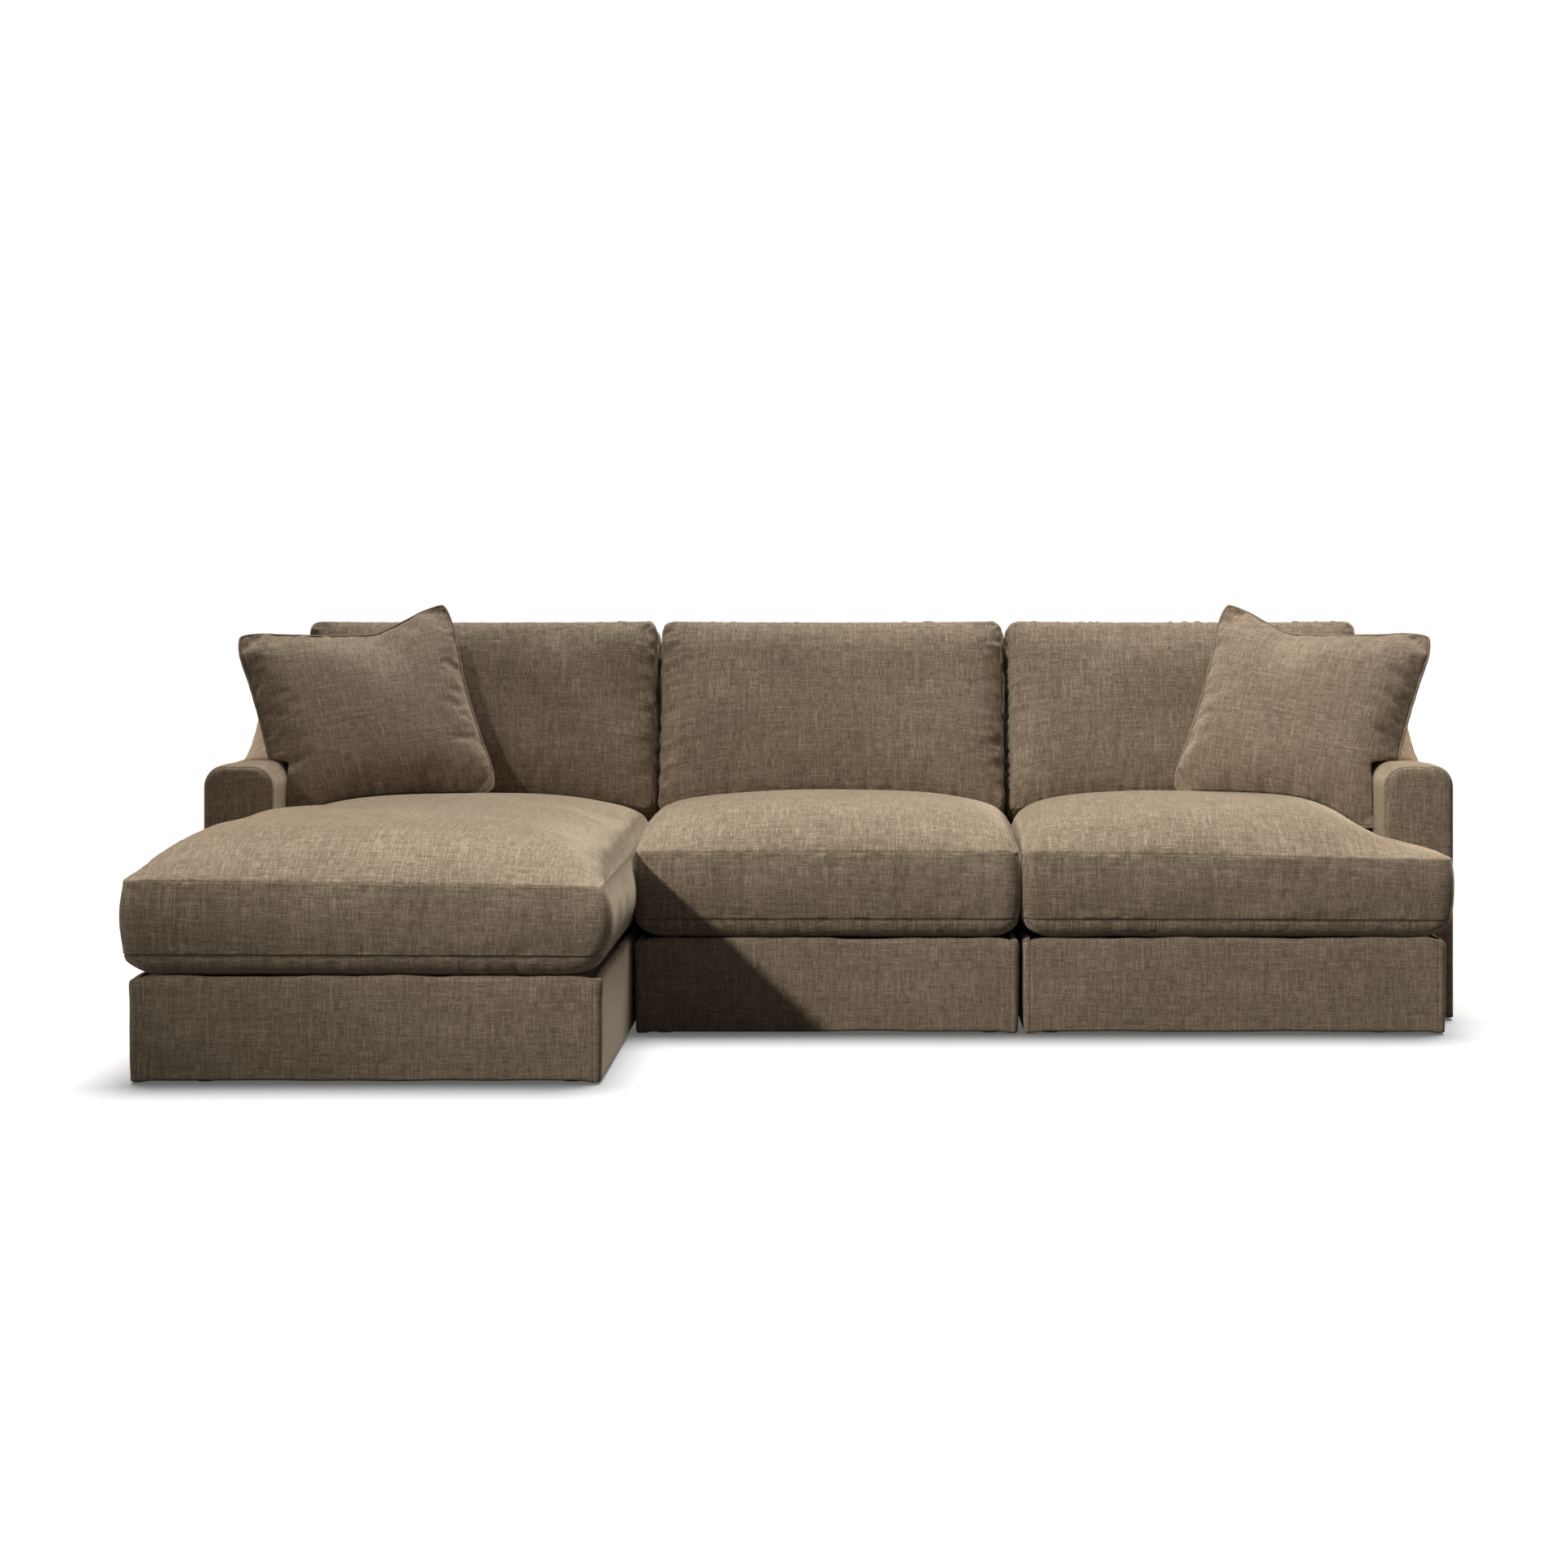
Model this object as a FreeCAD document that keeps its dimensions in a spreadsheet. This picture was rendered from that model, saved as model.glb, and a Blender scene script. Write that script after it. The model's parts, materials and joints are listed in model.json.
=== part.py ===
import FreeCAD, Part
import math
import os
from types import SimpleNamespace

from FreeCAD import Placement, Rotation, Vector

# Modular sectional sofa with a chaise, seen from the sitter's side along +Y.
# X runs across the three units, Y runs from the chaise's front to the back, Z is up from the floor.
# The left unit (-X) is the chaise, the middle unit has no arms, the right unit (+X) has one arm.
# The origin is on the floor, under the middle of the whole sofa.

# Driving dimensions in millimetres, angles in degrees, shares without a unit
SIZES = {
    "centre_width": 840,
    "side_width": 990,
    "unit_gap": 12,
    "unit_depth": 1028,
    "chaise_extension": 660,
    "arm_width": 158,
    "arm_overhang": 64,
    "arm_setback": 218,
    "arm_height": 580,
    "arm_level": 282,
    "arm_sweep_radius": 420,
    "arm_ramp_length": 38,
    "arm_shoulder_radius": 70,
    "arm_edge_radius": 48,
    "arm_front_radius": 18,
    "arm_padding": 30,
    "arm_panel_thickness": 15,
    "arm_block_width": 58,
    "arm_block_depth": 70,
    "arm_frame_fit": 1,
    "floor_gap": 7,
    "cover_thickness": 16,
    "cover_radius": 11,
    "back_cover_thickness": 14,
    "foot_height": 23.5,
    "foot_radius": 28,
    "foot_tip_radius": 22,
    "foot_inset": 45,
    "dust_cover_thickness": 1.5,
    "rail_height": 159,
    "rail_thickness": 22,
    "spring_wire": 4,
    "spring_pitch": 44,
    "spring_width": 74,
    "spring_spacing": 150,
    "spring_fit": 0.1,
    "clip_height": 8,
    "clip_width": 22,
    "clip_depth": 14,
    "deck_thickness": 18,
    "back_height": 820,
    "back_top_depth": 81,
    "back_lean": 17,
    "back_pad_thickness": 38,
    "back_pad_cap": 24,
    "back_pad_radius": 18,
    "post_thickness": 22,
    "cap_board_thickness": 22,
    "strap_width": 60,
    "strap_thickness": 2.5,
    "strap_count": 4,
    "rest_gap": 0.3,
    "cushion_overhang": 16,
    "cushion_wing_overhang": 16,
    "cushion_side_gap": 4,
    "cushion_corner": 38,
    "cushion_notch_corner": 12,
    "cushion_bow": 0.012,
    "seat_cushion_boxing": 190,
    "seat_cushion_crown": 105,
    "seat_cushion_past_pad": 1,
    "back_cushion_width_extra": 34,
    "back_cushion_height": 495,
    "back_cushion_boxing": 150,
    "back_cushion_crown": 50,
    "back_cushion_foot": 178,
    "pillow_size": 520,
    "pillow_thickness": 150,
    "pillow_corner": 16,
    "pillow_draw_in": 0.045,
    "pillow_lean": 27,
    "pillow_yaw": 17,
    "pillow_tilt": 9,
    "pillow_from_arm_side": 314,
    "pillow_ahead_of_back": 385,
    "pillow_rise": 183,
    "link_plate_width": 60,
    "link_plate_height": 44,
    "link_plate_thickness": 2.5,
    "link_tongue_width": 34,
    "link_tongue_thickness": 3,
    "link_fit": 0.5,
}

doc = FreeCAD.newDocument("sectional_sofa")
sheet = doc.addObject("Spreadsheet::Sheet", "dims")
for row, (alias, number) in enumerate(SIZES.items(), start=1):
    sheet.set(f"A{row}", alias)
    sheet.set(f"B{row}", str(number))
    sheet.setAlias(f"B{row}", alias)
doc.recompute()


class Size:
    """A size as a number and as the sheet formula that gives it."""

    def __init__(self, number, formula):
        self.number = float(number)
        self.formula = formula

    def __float__(self):
        return self.number

    def __add__(self, other):
        other = as_size(other)
        return Size(self.number + other.number, f"({self.formula} + {other.formula})")

    def __radd__(self, other):
        return as_size(other) + self

    def __sub__(self, other):
        other = as_size(other)
        return Size(self.number - other.number, f"({self.formula} - {other.formula})")

    def __rsub__(self, other):
        return as_size(other) - self

    def __mul__(self, other):
        other = as_size(other)
        return Size(self.number * other.number, f"({self.formula} * {other.formula})")

    def __rmul__(self, other):
        return as_size(other) * self

    def __truediv__(self, other):
        other = as_size(other)
        return Size(self.number / other.number, f"({self.formula} / {other.formula})")

    def __neg__(self):
        return Size(-self.number, f"(-1 * {self.formula})")


def as_size(value):
    """A plain number as a Size; a Size stays as it is."""
    if isinstance(value, Size):
        return value
    return Size(value, repr(float(value)))


def sine(angle):
    return Size(math.sin(math.radians(angle.number)), f"sin({angle.formula})")


def cosine(angle):
    return Size(math.cos(math.radians(angle.number)), f"cos({angle.formula})")


def tangent(angle):
    return Size(math.tan(math.radians(angle.number)), f"tan({angle.formula})")


def arc_cosine(ratio):
    return Size(math.degrees(math.acos(ratio.number)), f"acos({ratio.formula})")


def arc_tangent(ratio):
    return Size(math.degrees(math.atan(ratio.number)), f"atan({ratio.formula})")


d = SimpleNamespace(**{alias: Size(getattr(sheet, alias), f"dims.{alias}") for alias in SIZES})

# Places that follow from the driving dimensions: planes across the depth, from the rear forwards
REAR = (d.unit_depth + d.chaise_extension + d.cushion_overhang) / 2
FRAME_REAR = REAR - d.back_cover_thickness
SEAT_FRONT = REAR - d.unit_depth
CHAISE_FRONT = SEAT_FRONT - d.chaise_extension
ARM_FRONT = SEAT_FRONT + d.arm_setback

# Planes across the width, from the middle outwards
CENTRE_HALF = d.centre_width / 2
SIDE_INNER = CENTRE_HALF + d.unit_gap
ARM_OUTER = SIDE_INNER + d.side_width
ARM_INNER = ARM_OUTER - d.arm_width
BASE_OUTER = ARM_OUTER - d.arm_overhang

# Levels above the floor
RAIL_BOTTOM = d.foot_height + d.dust_cover_thickness
RAIL_TOP = RAIL_BOTTOM + d.rail_height
SPRING_LEVEL = RAIL_TOP + d.clip_height / 2
DECK_BOTTOM = RAIL_TOP + d.clip_height
DECK_TOP = DECK_BOTTOM + d.deck_thickness
CUSHION_FLOOR = DECK_TOP + d.rest_gap
CAP_BOARD_TOP = d.back_height - d.back_pad_cap

# The inside back leans: its front plane is at PAD_TOP at the back's full height
LEAN = tangent(d.back_lean)
PAD_TOP = FRAME_REAR - d.back_top_depth
PAD_DEPTH = d.back_pad_thickness / cosine(d.back_lean)
STRAP_DEPTH = d.strap_thickness / cosine(d.back_lean)
SPRING_RAIL_REAR = PAD_TOP - (d.back_height - DECK_TOP) * LEAN + PAD_DEPTH

subparts = []


def pad_plane(level, behind=0):
    """Depth of the leaning front plane of the inside back at a level, or of a plane behind it."""
    return PAD_TOP - (d.back_height - level) * LEAN + behind


def keep(label, thing):
    """Registers an object of the document as one named sub-part of the sofa."""
    thing.Label = label
    subparts.append(thing)
    return thing


def bind(thing, formulas):
    """Binds properties of a document object to sheet formulas."""
    for name, size in formulas.items():
        thing.setExpression(name, as_size(size).formula)


def board(name, x, y, z):
    """A straight board between (low, high) pairs along X, Y and Z."""
    box = doc.addObject("Part::Box", name)
    bind(box, {
        "Length": x[1] - x[0],
        "Width": y[1] - y[0],
        "Height": z[1] - z[0],
        "Placement.Base.x": x[0],
        "Placement.Base.y": y[0],
        "Placement.Base.z": z[0],
    })
    return box


def group(label, pieces):
    """Several separate pieces that share one node."""
    compound = doc.addObject("Part::Compound", label)
    compound.Links = pieces
    return keep(label, compound)


def across(side, low, high):
    """The (low, high) pair of a span given for the right-hand side, mirrored for side -1."""
    return (low, high) if side > 0 else (-high, -low)


def origin_plane(body, role):
    """One of a body's own origin planes."""
    return next(plane for plane in body.Origin.OriginFeatures if plane.Role == role)


def add_arc(sketch, start, end, radius):
    """Adds an arc from start to end; a positive radius turns left. Returns its index and end names."""
    chord = end - start
    half = chord.Length / 2
    rise = math.sqrt(max(radius * radius - half * half, 0.0))
    left = Vector(-chord.y, chord.x, 0).normalize()
    centre = start + chord * 0.5 + left * (rise if radius > 0 else -rise)
    first, last = (start, end) if radius > 0 else (end, start)
    begin = math.atan2(first.y - centre.y, first.x - centre.x)
    finish = math.atan2(last.y - centre.y, last.x - centre.x)
    circle = Part.Circle(centre, Vector(0, 0, 1), abs(radius))
    index = sketch.addGeometry(Part.ArcOfCircle(circle, begin, finish), False)
    return index, ((1, 2) if radius > 0 else (2, 1))


def profile_sketch(body, plane, corners, start):
    """A closed sketch through corners (a, b) or (a, b, radius of the arc that arrives there)."""
    import Sketcher

    sketch = body.newObject("Sketcher::SketchObject", f"{body.Name}_profile")
    sketch.AttachmentSupport = (origin_plane(body, plane), [""])
    sketch.MapMode = "FlatFace"
    sketch.AttachmentOffset = Placement(Vector(0, 0, float(start)), Rotation())
    sketch.setExpression("AttachmentOffset.Base.z", as_size(start).formula)
    points = [Vector(float(corner[0]), float(corner[1]), 0) for corner in corners]
    ends = []
    for k, corner in enumerate(corners):
        before = points[k - 1]
        if len(corner) == 3:
            index, order = add_arc(sketch, before, points[k], float(corner[2]))
            radius = sketch.addConstraint(Sketcher.Constraint("Radius", index, abs(float(corner[2]))))
            size = corner[2] if float(corner[2]) > 0 else -corner[2]
            sketch.setExpression(f"Constraints[{radius}]", size.formula)
        else:
            index = sketch.addGeometry(Part.LineSegment(before, points[k]), False)
            order = (1, 2)
        ends.append((index, order))
    for k, corner in enumerate(corners):
        here, order = ends[k]
        following, next_order = ends[(k + 1) % len(ends)]
        sketch.addConstraint(Sketcher.Constraint("Coincident", here, order[1], following, next_order[0]))
        for kind, size in (("DistanceX", corner[0]), ("DistanceY", corner[1])):
            held = sketch.addConstraint(Sketcher.Constraint(kind, -1, 1, here, order[1], float(size)))
            sketch.setExpression(f"Constraints[{held}]", as_size(size).formula)
    return sketch


def pad_body(name, plane, corners, span):
    """A body with one pad of a profile between two planes. Returns the body and the pad."""
    body = doc.addObject("PartDesign::Body", name)
    sketch = profile_sketch(body, plane, corners, span[0])
    pad = body.newObject("PartDesign::Pad", f"{name}_pad")
    pad.Profile = sketch
    pad.Length = float(span[1] - span[0])
    pad.setExpression("Length", (span[1] - span[0]).formula)
    doc.recompute()
    return body, pad


def fillet(body, base, radius, chosen):
    """Rounds the edges of a feature that the test chosen accepts."""
    names = [f"Edge{k}" for k, edge in enumerate(base.Shape.Edges, start=1) if chosen(edge)]
    rounding = body.newObject("PartDesign::Fillet", f"{body.Name}_fillet")
    rounding.Base = (base, names)
    rounding.Radius = float(radius)
    rounding.setExpression("Radius", as_size(radius).formula)
    doc.recompute()
    return rounding


def rectangle(x, y):
    """The four corners of a rectangle between (low, high) pairs."""
    return [(x[0], y[0]), (x[1], y[0]), (x[1], y[1]), (x[0], y[1])]


def near(value, size):
    """Whether a coordinate lies on a plane."""
    return abs(value - float(size)) < 0.01


def upholstered_board(name, x, y, z, faces):
    """A padded cover board whose edges on the named outer faces are rounded."""
    body, pad = pad_body(name, "XY_Plane", rectangle(x, y), z)
    planes = {"x0": (0, x[0]), "x1": (0, x[1]), "y0": (1, y[0]), "y1": (1, y[1]), "z1": (2, z[1])}

    def on(edge, face):
        axis, size = planes[face]
        box = edge.BoundBox
        low = (box.XMin, box.YMin, box.ZMin)[axis]
        high = (box.XMax, box.YMax, box.ZMax)[axis]
        return near(low, size) and near(high, size)

    pairs = [(a, b) for a in faces for b in faces if a < b]
    fillet(body, pad, d.cover_radius, lambda edge: any(on(edge, a) and on(edge, b) for a, b in pairs))
    return body


def foot(name, x, y):
    """A turned plastic foot that narrows towards the floor."""
    cone = doc.addObject("Part::Cone", name)
    bind(cone, {
        "Radius1": d.foot_tip_radius,
        "Radius2": d.foot_radius,
        "Height": d.foot_height,
        "Placement.Base.x": x,
        "Placement.Base.y": y,
    })
    return cone


def feet(label, spots):
    group(label, [foot(f"{label}_{k}", x, y) for k, (x, y) in enumerate(spots, start=1)])


def spring_wire(start, end):
    """A zigzag seat spring between two points at one level, with its legs across the run."""
    run = end - start
    steps = max(2, round(run.Length / float(d.spring_pitch)))
    pitch = run.Length / steps
    along = Vector(run).normalize()
    sideways = Vector(-along.y, along.x, 0)
    bend = pitch / 2
    reach = float(d.spring_width) / 2 - bend
    edges = []
    hand = 1
    for k in range(steps + 1):
        here = start + along * (pitch * k)
        leg_start = here - sideways * (reach * hand)
        leg_end = here + sideways * (reach * hand)
        edges.append(Part.LineSegment(leg_start, leg_end).toShape())
        if k < steps:
            following = leg_end + along * pitch
            turn = leg_end + along * bend + sideways * (bend * hand)
            edges.append(Part.Arc(leg_end, turn, following).toShape())
        hand = -hand
    path = Part.Wire(edges)
    radius = float(d.spring_wire) / 2
    first = start - sideways * reach
    section = Part.Wire(Part.makeCircle(radius, first, sideways))
    return path.makePipeShell([section], True, False)


def seat_springs(label, starts, ends):
    """A row of zigzag springs, each between its two points."""
    wires = [spring_wire(start, end) for start, end in zip(starts, ends)]
    feature = doc.addObject("Part::Feature", label)
    feature.Shape = Part.makeCompound(wires)
    keep(label, feature)


def spring_clips(label, spots, sideways_x):
    """Small steel clips on the rails; each has a channel for the end leg of one spring."""
    pieces = []
    for k, (x, y) in enumerate(spots, start=1):
        across_x = d.clip_width if sideways_x else d.clip_depth
        across_y = d.clip_depth if sideways_x else d.clip_width
        block = board(
            f"{label}_block_{k}",
            (x - across_x / 2, x + across_x / 2),
            (y - across_y / 2, y + across_y / 2),
            (RAIL_TOP, DECK_BOTTOM),
        )
        channel = doc.addObject("Part::Cylinder", f"{label}_channel_{k}")
        bind(channel, {"Radius": d.spring_wire / 2 + d.spring_fit, "Height": d.clip_width})
        if sideways_x:
            channel.Placement.Rotation = Rotation(Vector(0, 1, 0), 90)
            begin = {"Placement.Base.x": x - d.clip_width / 2, "Placement.Base.y": y}
        else:
            channel.Placement.Rotation = Rotation(Vector(1, 0, 0), -90)
            begin = {"Placement.Base.x": x, "Placement.Base.y": y - d.clip_width / 2}
        bind(channel, {**begin, "Placement.Base.z": SPRING_LEVEL})
        clip = doc.addObject("Part::Cut", f"{label}_{k}")
        clip.Base = block
        clip.Tool = channel
        pieces.append(clip)
    group(label, pieces)


def spread(low, high, spacing):
    """Evenly spaced places between two planes, about one spacing apart and half of one from each."""
    count = max(1, round(float(high - low) / float(spacing)))
    return [low + (high - low) * ((k + 0.5) / count) for k in range(count)]


def springs_front_to_back(unit, x, front, rear):
    """Springs that run from the front rail to the spring rail of a seat."""
    places = spread(x[0], x[1], d.spring_spacing)
    level = float(SPRING_LEVEL)
    starts = [Vector(float(place), float(front), level) for place in places]
    ends = [Vector(float(place), float(rear), level) for place in places]
    seat_springs(f"{unit}_seat_springs", starts, ends)
    spring_clips(f"{unit}_spring_clips", [(p, y) for p in places for y in (front, rear)], True)


def springs_side_to_side(unit, x, y):
    """Springs that run across a long seat, from one side rail to the other."""
    places = spread(y[0], y[1], d.spring_spacing)
    level = float(SPRING_LEVEL)
    starts = [Vector(float(x[0]), float(place), level) for place in places]
    ends = [Vector(float(x[1]), float(place), level) for place in places]
    seat_springs(f"{unit}_seat_springs", starts, ends)
    spring_clips(f"{unit}_spring_clips", [(edge, p) for p in places for edge in x], False)


def back_assembly(unit, x, cover_x):
    """The leaning back of a unit: posts, cap board, straps, inside pad and outside cover."""
    post = [
        (pad_plane(RAIL_TOP, PAD_DEPTH + STRAP_DEPTH), RAIL_TOP),
        (FRAME_REAR, RAIL_TOP),
        (FRAME_REAR, CAP_BOARD_TOP),
        (pad_plane(CAP_BOARD_TOP, PAD_DEPTH + STRAP_DEPTH), CAP_BOARD_TOP),
    ]
    left, _ = pad_body(f"{unit}_left_post", "YZ_Plane", post, (x[0], x[0] + d.post_thickness))
    right, _ = pad_body(f"{unit}_right_post", "YZ_Plane", post, (x[1] - d.post_thickness, x[1]))
    group(f"{unit}_back_posts", [left, right])
    board_front = pad_plane(CAP_BOARD_TOP, PAD_DEPTH + STRAP_DEPTH)
    keep(f"{unit}_back_cap_board", board(
        f"{unit}_back_cap_board",
        (x[0] + d.post_thickness, x[1] - d.post_thickness),
        (board_front, FRAME_REAR),
        (CAP_BOARD_TOP - d.cap_board_thickness, CAP_BOARD_TOP),
    ))
    straps = []
    foot_level = RAIL_TOP + d.strap_width * 1.5
    for k, level in enumerate(spread(foot_level, CAP_BOARD_TOP, (CAP_BOARD_TOP - foot_level) / d.strap_count)):
        low = level - d.strap_width / 2
        high = level + d.strap_width / 2
        strap = [
            (pad_plane(low, PAD_DEPTH), low),
            (pad_plane(low, PAD_DEPTH + STRAP_DEPTH), low),
            (pad_plane(high, PAD_DEPTH + STRAP_DEPTH), high),
            (pad_plane(high, PAD_DEPTH), high),
        ]
        straps.append(pad_body(f"{unit}_strap_{k}", "YZ_Plane", strap, x)[0])
    group(f"{unit}_back_straps", straps)
    pad_profile = [
        (pad_plane(DECK_TOP), DECK_TOP),
        (pad_plane(DECK_TOP, PAD_DEPTH), DECK_TOP),
        (pad_plane(CAP_BOARD_TOP, PAD_DEPTH), CAP_BOARD_TOP),
        (FRAME_REAR, CAP_BOARD_TOP),
        (FRAME_REAR, d.back_height),
        (PAD_TOP, d.back_height),
    ]
    pad, block = pad_body(f"{unit}_inside_back_pad", "YZ_Plane", pad_profile, x)
    fillet(pad, block, d.back_pad_radius, lambda edge: edge.BoundBox.YLength < 0.01
           and near(edge.BoundBox.YMin, PAD_TOP) and near(edge.BoundBox.ZMin, d.back_height))
    keep(f"{unit}_inside_back_pad", pad)
    outside = upholstered_board(
        f"{unit}_outside_back_cover", cover_x, (FRAME_REAR, REAR), (d.floor_gap, d.back_height),
        ("x0", "x1", "y1", "z1"),
    )
    keep(f"{unit}_outside_back_cover", outside)


def winged_side_cover(name, x):
    """A side cover of a unit: the base's side and the narrow side of the back above it, in one."""
    profile = [
        (SEAT_FRONT + d.cover_thickness, d.floor_gap),
        (FRAME_REAR, d.floor_gap),
        (FRAME_REAR, d.back_height),
        (PAD_TOP, d.back_height),
        (pad_plane(DECK_TOP), DECK_TOP),
        (SEAT_FRONT + d.cover_thickness, DECK_TOP),
    ]
    return pad_body(name, "YZ_Plane", profile, x)[0]


def ring(corners, level, bow):
    """A closed ring through corners (x, y, radius) whose sides are bowed by a share of their length."""
    points = [Vector(x, y, level) for x, y, _ in corners]
    radii = [radius for _, _, radius in corners]
    count = len(points)
    ways = [Vector(points[(k + 1) % count] - points[k]).normalize() for k in range(count)]
    arrive = [points[k] - ways[k - 1] * radii[k] for k in range(count)]
    leave = [points[k] + ways[k] * radii[k] for k in range(count)]
    edges = []
    for k in range(count):
        centre = arrive[k] + ways[k] * radii[k]
        middle = centre + Vector(points[k] - centre).normalize() * radii[k]
        edges.append(Part.Arc(arrive[k], middle, leave[k]).toShape())
        following = (k + 1) % count
        run = arrive[following] - leave[k]
        outwards = Vector(ways[k].y, -ways[k].x, 0)
        crest = leave[k] + run * 0.5 + outwards * (bow * run.Length)
        edges.append(Part.Arc(leave[k], crest, arrive[following]).toShape())
    return Part.Wire(edges)


def swell(share):
    """Height of a crown at a share of the cushion's half width, from 1 at the middle to 0 at the seam."""
    return (1 - share ** 4) ** 0.62


# Cushion rings as (share of the plan, share of the boxing's height), from the underside to the top seam
BOXING_RINGS = ((0.90, 0.0), (0.96, 0.07), (0.99, 0.22), (1.0, 0.4), (1.0, 0.65), (0.99, 1.0))
CROWN_SHARES = (0.95, 0.90, 0.82, 0.70, 0.52, 0.28)


def crowned_rings(outline, boxing, crown):
    """Rings of a cushion: outline gives the corners at a share of the plan."""
    bow = float(d.cushion_bow)
    rings = [ring(outline(share), boxing * rise, bow) for share, rise in BOXING_RINGS]
    seam = swell(BOXING_RINGS[-1][0])
    for share in CROWN_SHARES:
        lift = (swell(share) - seam) / (1 - seam)
        rings.append(ring(outline(share), boxing + crown * lift, bow))
    return rings


def box_outline(x, y, corner):
    """Outline of a plain cushion, as a function of the share of its plan."""
    middle_x, middle_y = (x[0] + x[1]) / 2, (y[0] + y[1]) / 2
    half_x, half_y = (x[1] - x[0]) / 2, (y[1] - y[0]) / 2

    def outline(share):
        left, right = middle_x - half_x * share, middle_x + half_x * share
        low, high = middle_y - half_y * share, middle_y + half_y * share
        radius = corner * max(share, 0.4)
        return [(left, low, radius), (right, low, radius), (right, high, radius), (left, high, radius)]

    return outline


def cushion_feature(label, shape):
    feature = doc.addObject("Part::Feature", label)
    feature.Shape = shape
    return keep(label, feature)


def seat_cushion(label, x, front, notch=None):
    """A crowned seat cushion on the deck; notch is the corner solid that an arm takes out of it."""
    lip = float(front) - front_lip(x)
    outline = box_outline((float(x[0]), float(x[1])), (lip, seat_cushion_rear()), float(d.cushion_corner))
    rings = crowned_rings(outline, float(d.seat_cushion_boxing), float(d.seat_cushion_crown))
    solid = Part.makeLoft(rings, True, True)
    solid.translate(Vector(0, 0, float(CUSHION_FLOOR)))
    if notch is not None:
        solid = solid.cut(notch).Solids[0]
    return cushion_feature(label, solid)


def arm_notch(side):
    """The corner that a side unit's seat cushion leaves free for the arm, with its inner edge rounded."""
    gap = float(d.cushion_side_gap)
    x = across(side, float(ARM_INNER) - gap, float(ARM_OUTER))
    front, rear = float(ARM_FRONT) - gap, float(REAR)
    height = float(d.seat_cushion_boxing + d.seat_cushion_crown) * 2
    block = Part.makeBox(x[1] - x[0], rear - front, height, Vector(x[0], front, float(CUSHION_FLOOR) - height / 4))
    inner = x[0] if side > 0 else x[1]

    def at_notch(edge):
        box = edge.BoundBox
        return box.ZLength > height / 2 and near(box.XMin, inner) and near(box.YMin, front)

    return block.makeFillet(float(d.cushion_notch_corner), [edge for edge in block.Edges if at_notch(edge)])


def cut_clear(solid, neighbours):
    """A soft solid cut to lie just clear of its neighbours, each given with the way from it."""
    for neighbour, way in neighbours:
        solid = solid.cut(neighbour.Shape.translated(way * float(d.rest_gap)))
    return max(solid.Solids, key=lambda piece: piece.Volume)


def back_cushion(label, x, neighbours):
    """A crowned back cushion that leans on the inside back and sits on the seat cushion."""
    corner = float(d.cushion_corner)
    height = float(d.back_cushion_height)
    outline = box_outline((float(x[0]), float(x[1])), (0.0, height), corner)
    rings = crowned_rings(outline, float(d.back_cushion_boxing), float(d.back_cushion_crown))
    solid = Part.makeLoft(rings, True, True)
    upright = Rotation(Vector(1, 0, 0), 90 - float(d.back_lean))
    foot_level = CUSHION_FLOOR + d.back_cushion_foot
    clearance = float(d.rest_gap) / math.cos(math.radians(float(d.back_lean)))
    foot_depth = float(pad_plane(foot_level)) - clearance
    solid.Placement = Placement(Vector(0, foot_depth, float(foot_level)), upright)
    return cushion_feature(label, cut_clear(solid, neighbours))


def throw_pillow(label, side, neighbours):
    """A square knife-edged pillow with drawn-in sides that leans in the corner of an arm and the back."""
    size = float(d.pillow_size)
    thickness = float(d.pillow_thickness)
    draw_in = float(d.pillow_draw_in)
    half = size / 2
    rings = []
    for share, rise in ((0.34, 1.0), (0.6, 0.9), (0.8, 0.7), (0.93, 0.4), (1.0, 0.0)):
        radius = float(d.pillow_corner)
        reach = half * share
        corners = [(-reach, -reach, radius), (reach, -reach, radius), (reach, reach, radius), (-reach, reach, radius)]
        rings.append((corners, thickness / 2 * rise, -draw_in * share))
    sections = [ring(corners, -rise, bow) for corners, rise, bow in rings]
    sections += [ring(corners, rise, bow) for corners, rise, bow in reversed(rings[:-1])]
    solid = Part.makeLoft(sections, True, True)
    turn = Rotation(Vector(0, 0, 1), side * -float(d.pillow_yaw))
    lean = Rotation(Vector(1, 0, 0), 90 - float(d.pillow_lean))
    tilt = Rotation(Vector(0, 0, 1), side * -float(d.pillow_tilt))
    centre = Vector(
        side * float(ARM_OUTER - d.pillow_from_arm_side),
        float(PAD_TOP - d.pillow_ahead_of_back),
        float(CUSHION_FLOOR + d.seat_cushion_boxing + d.seat_cushion_crown + d.pillow_rise),
    )
    solid.Placement = Placement(centre, turn.multiply(lean).multiply(tilt))
    return cushion_feature(label, cut_clear(solid, neighbours))


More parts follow.
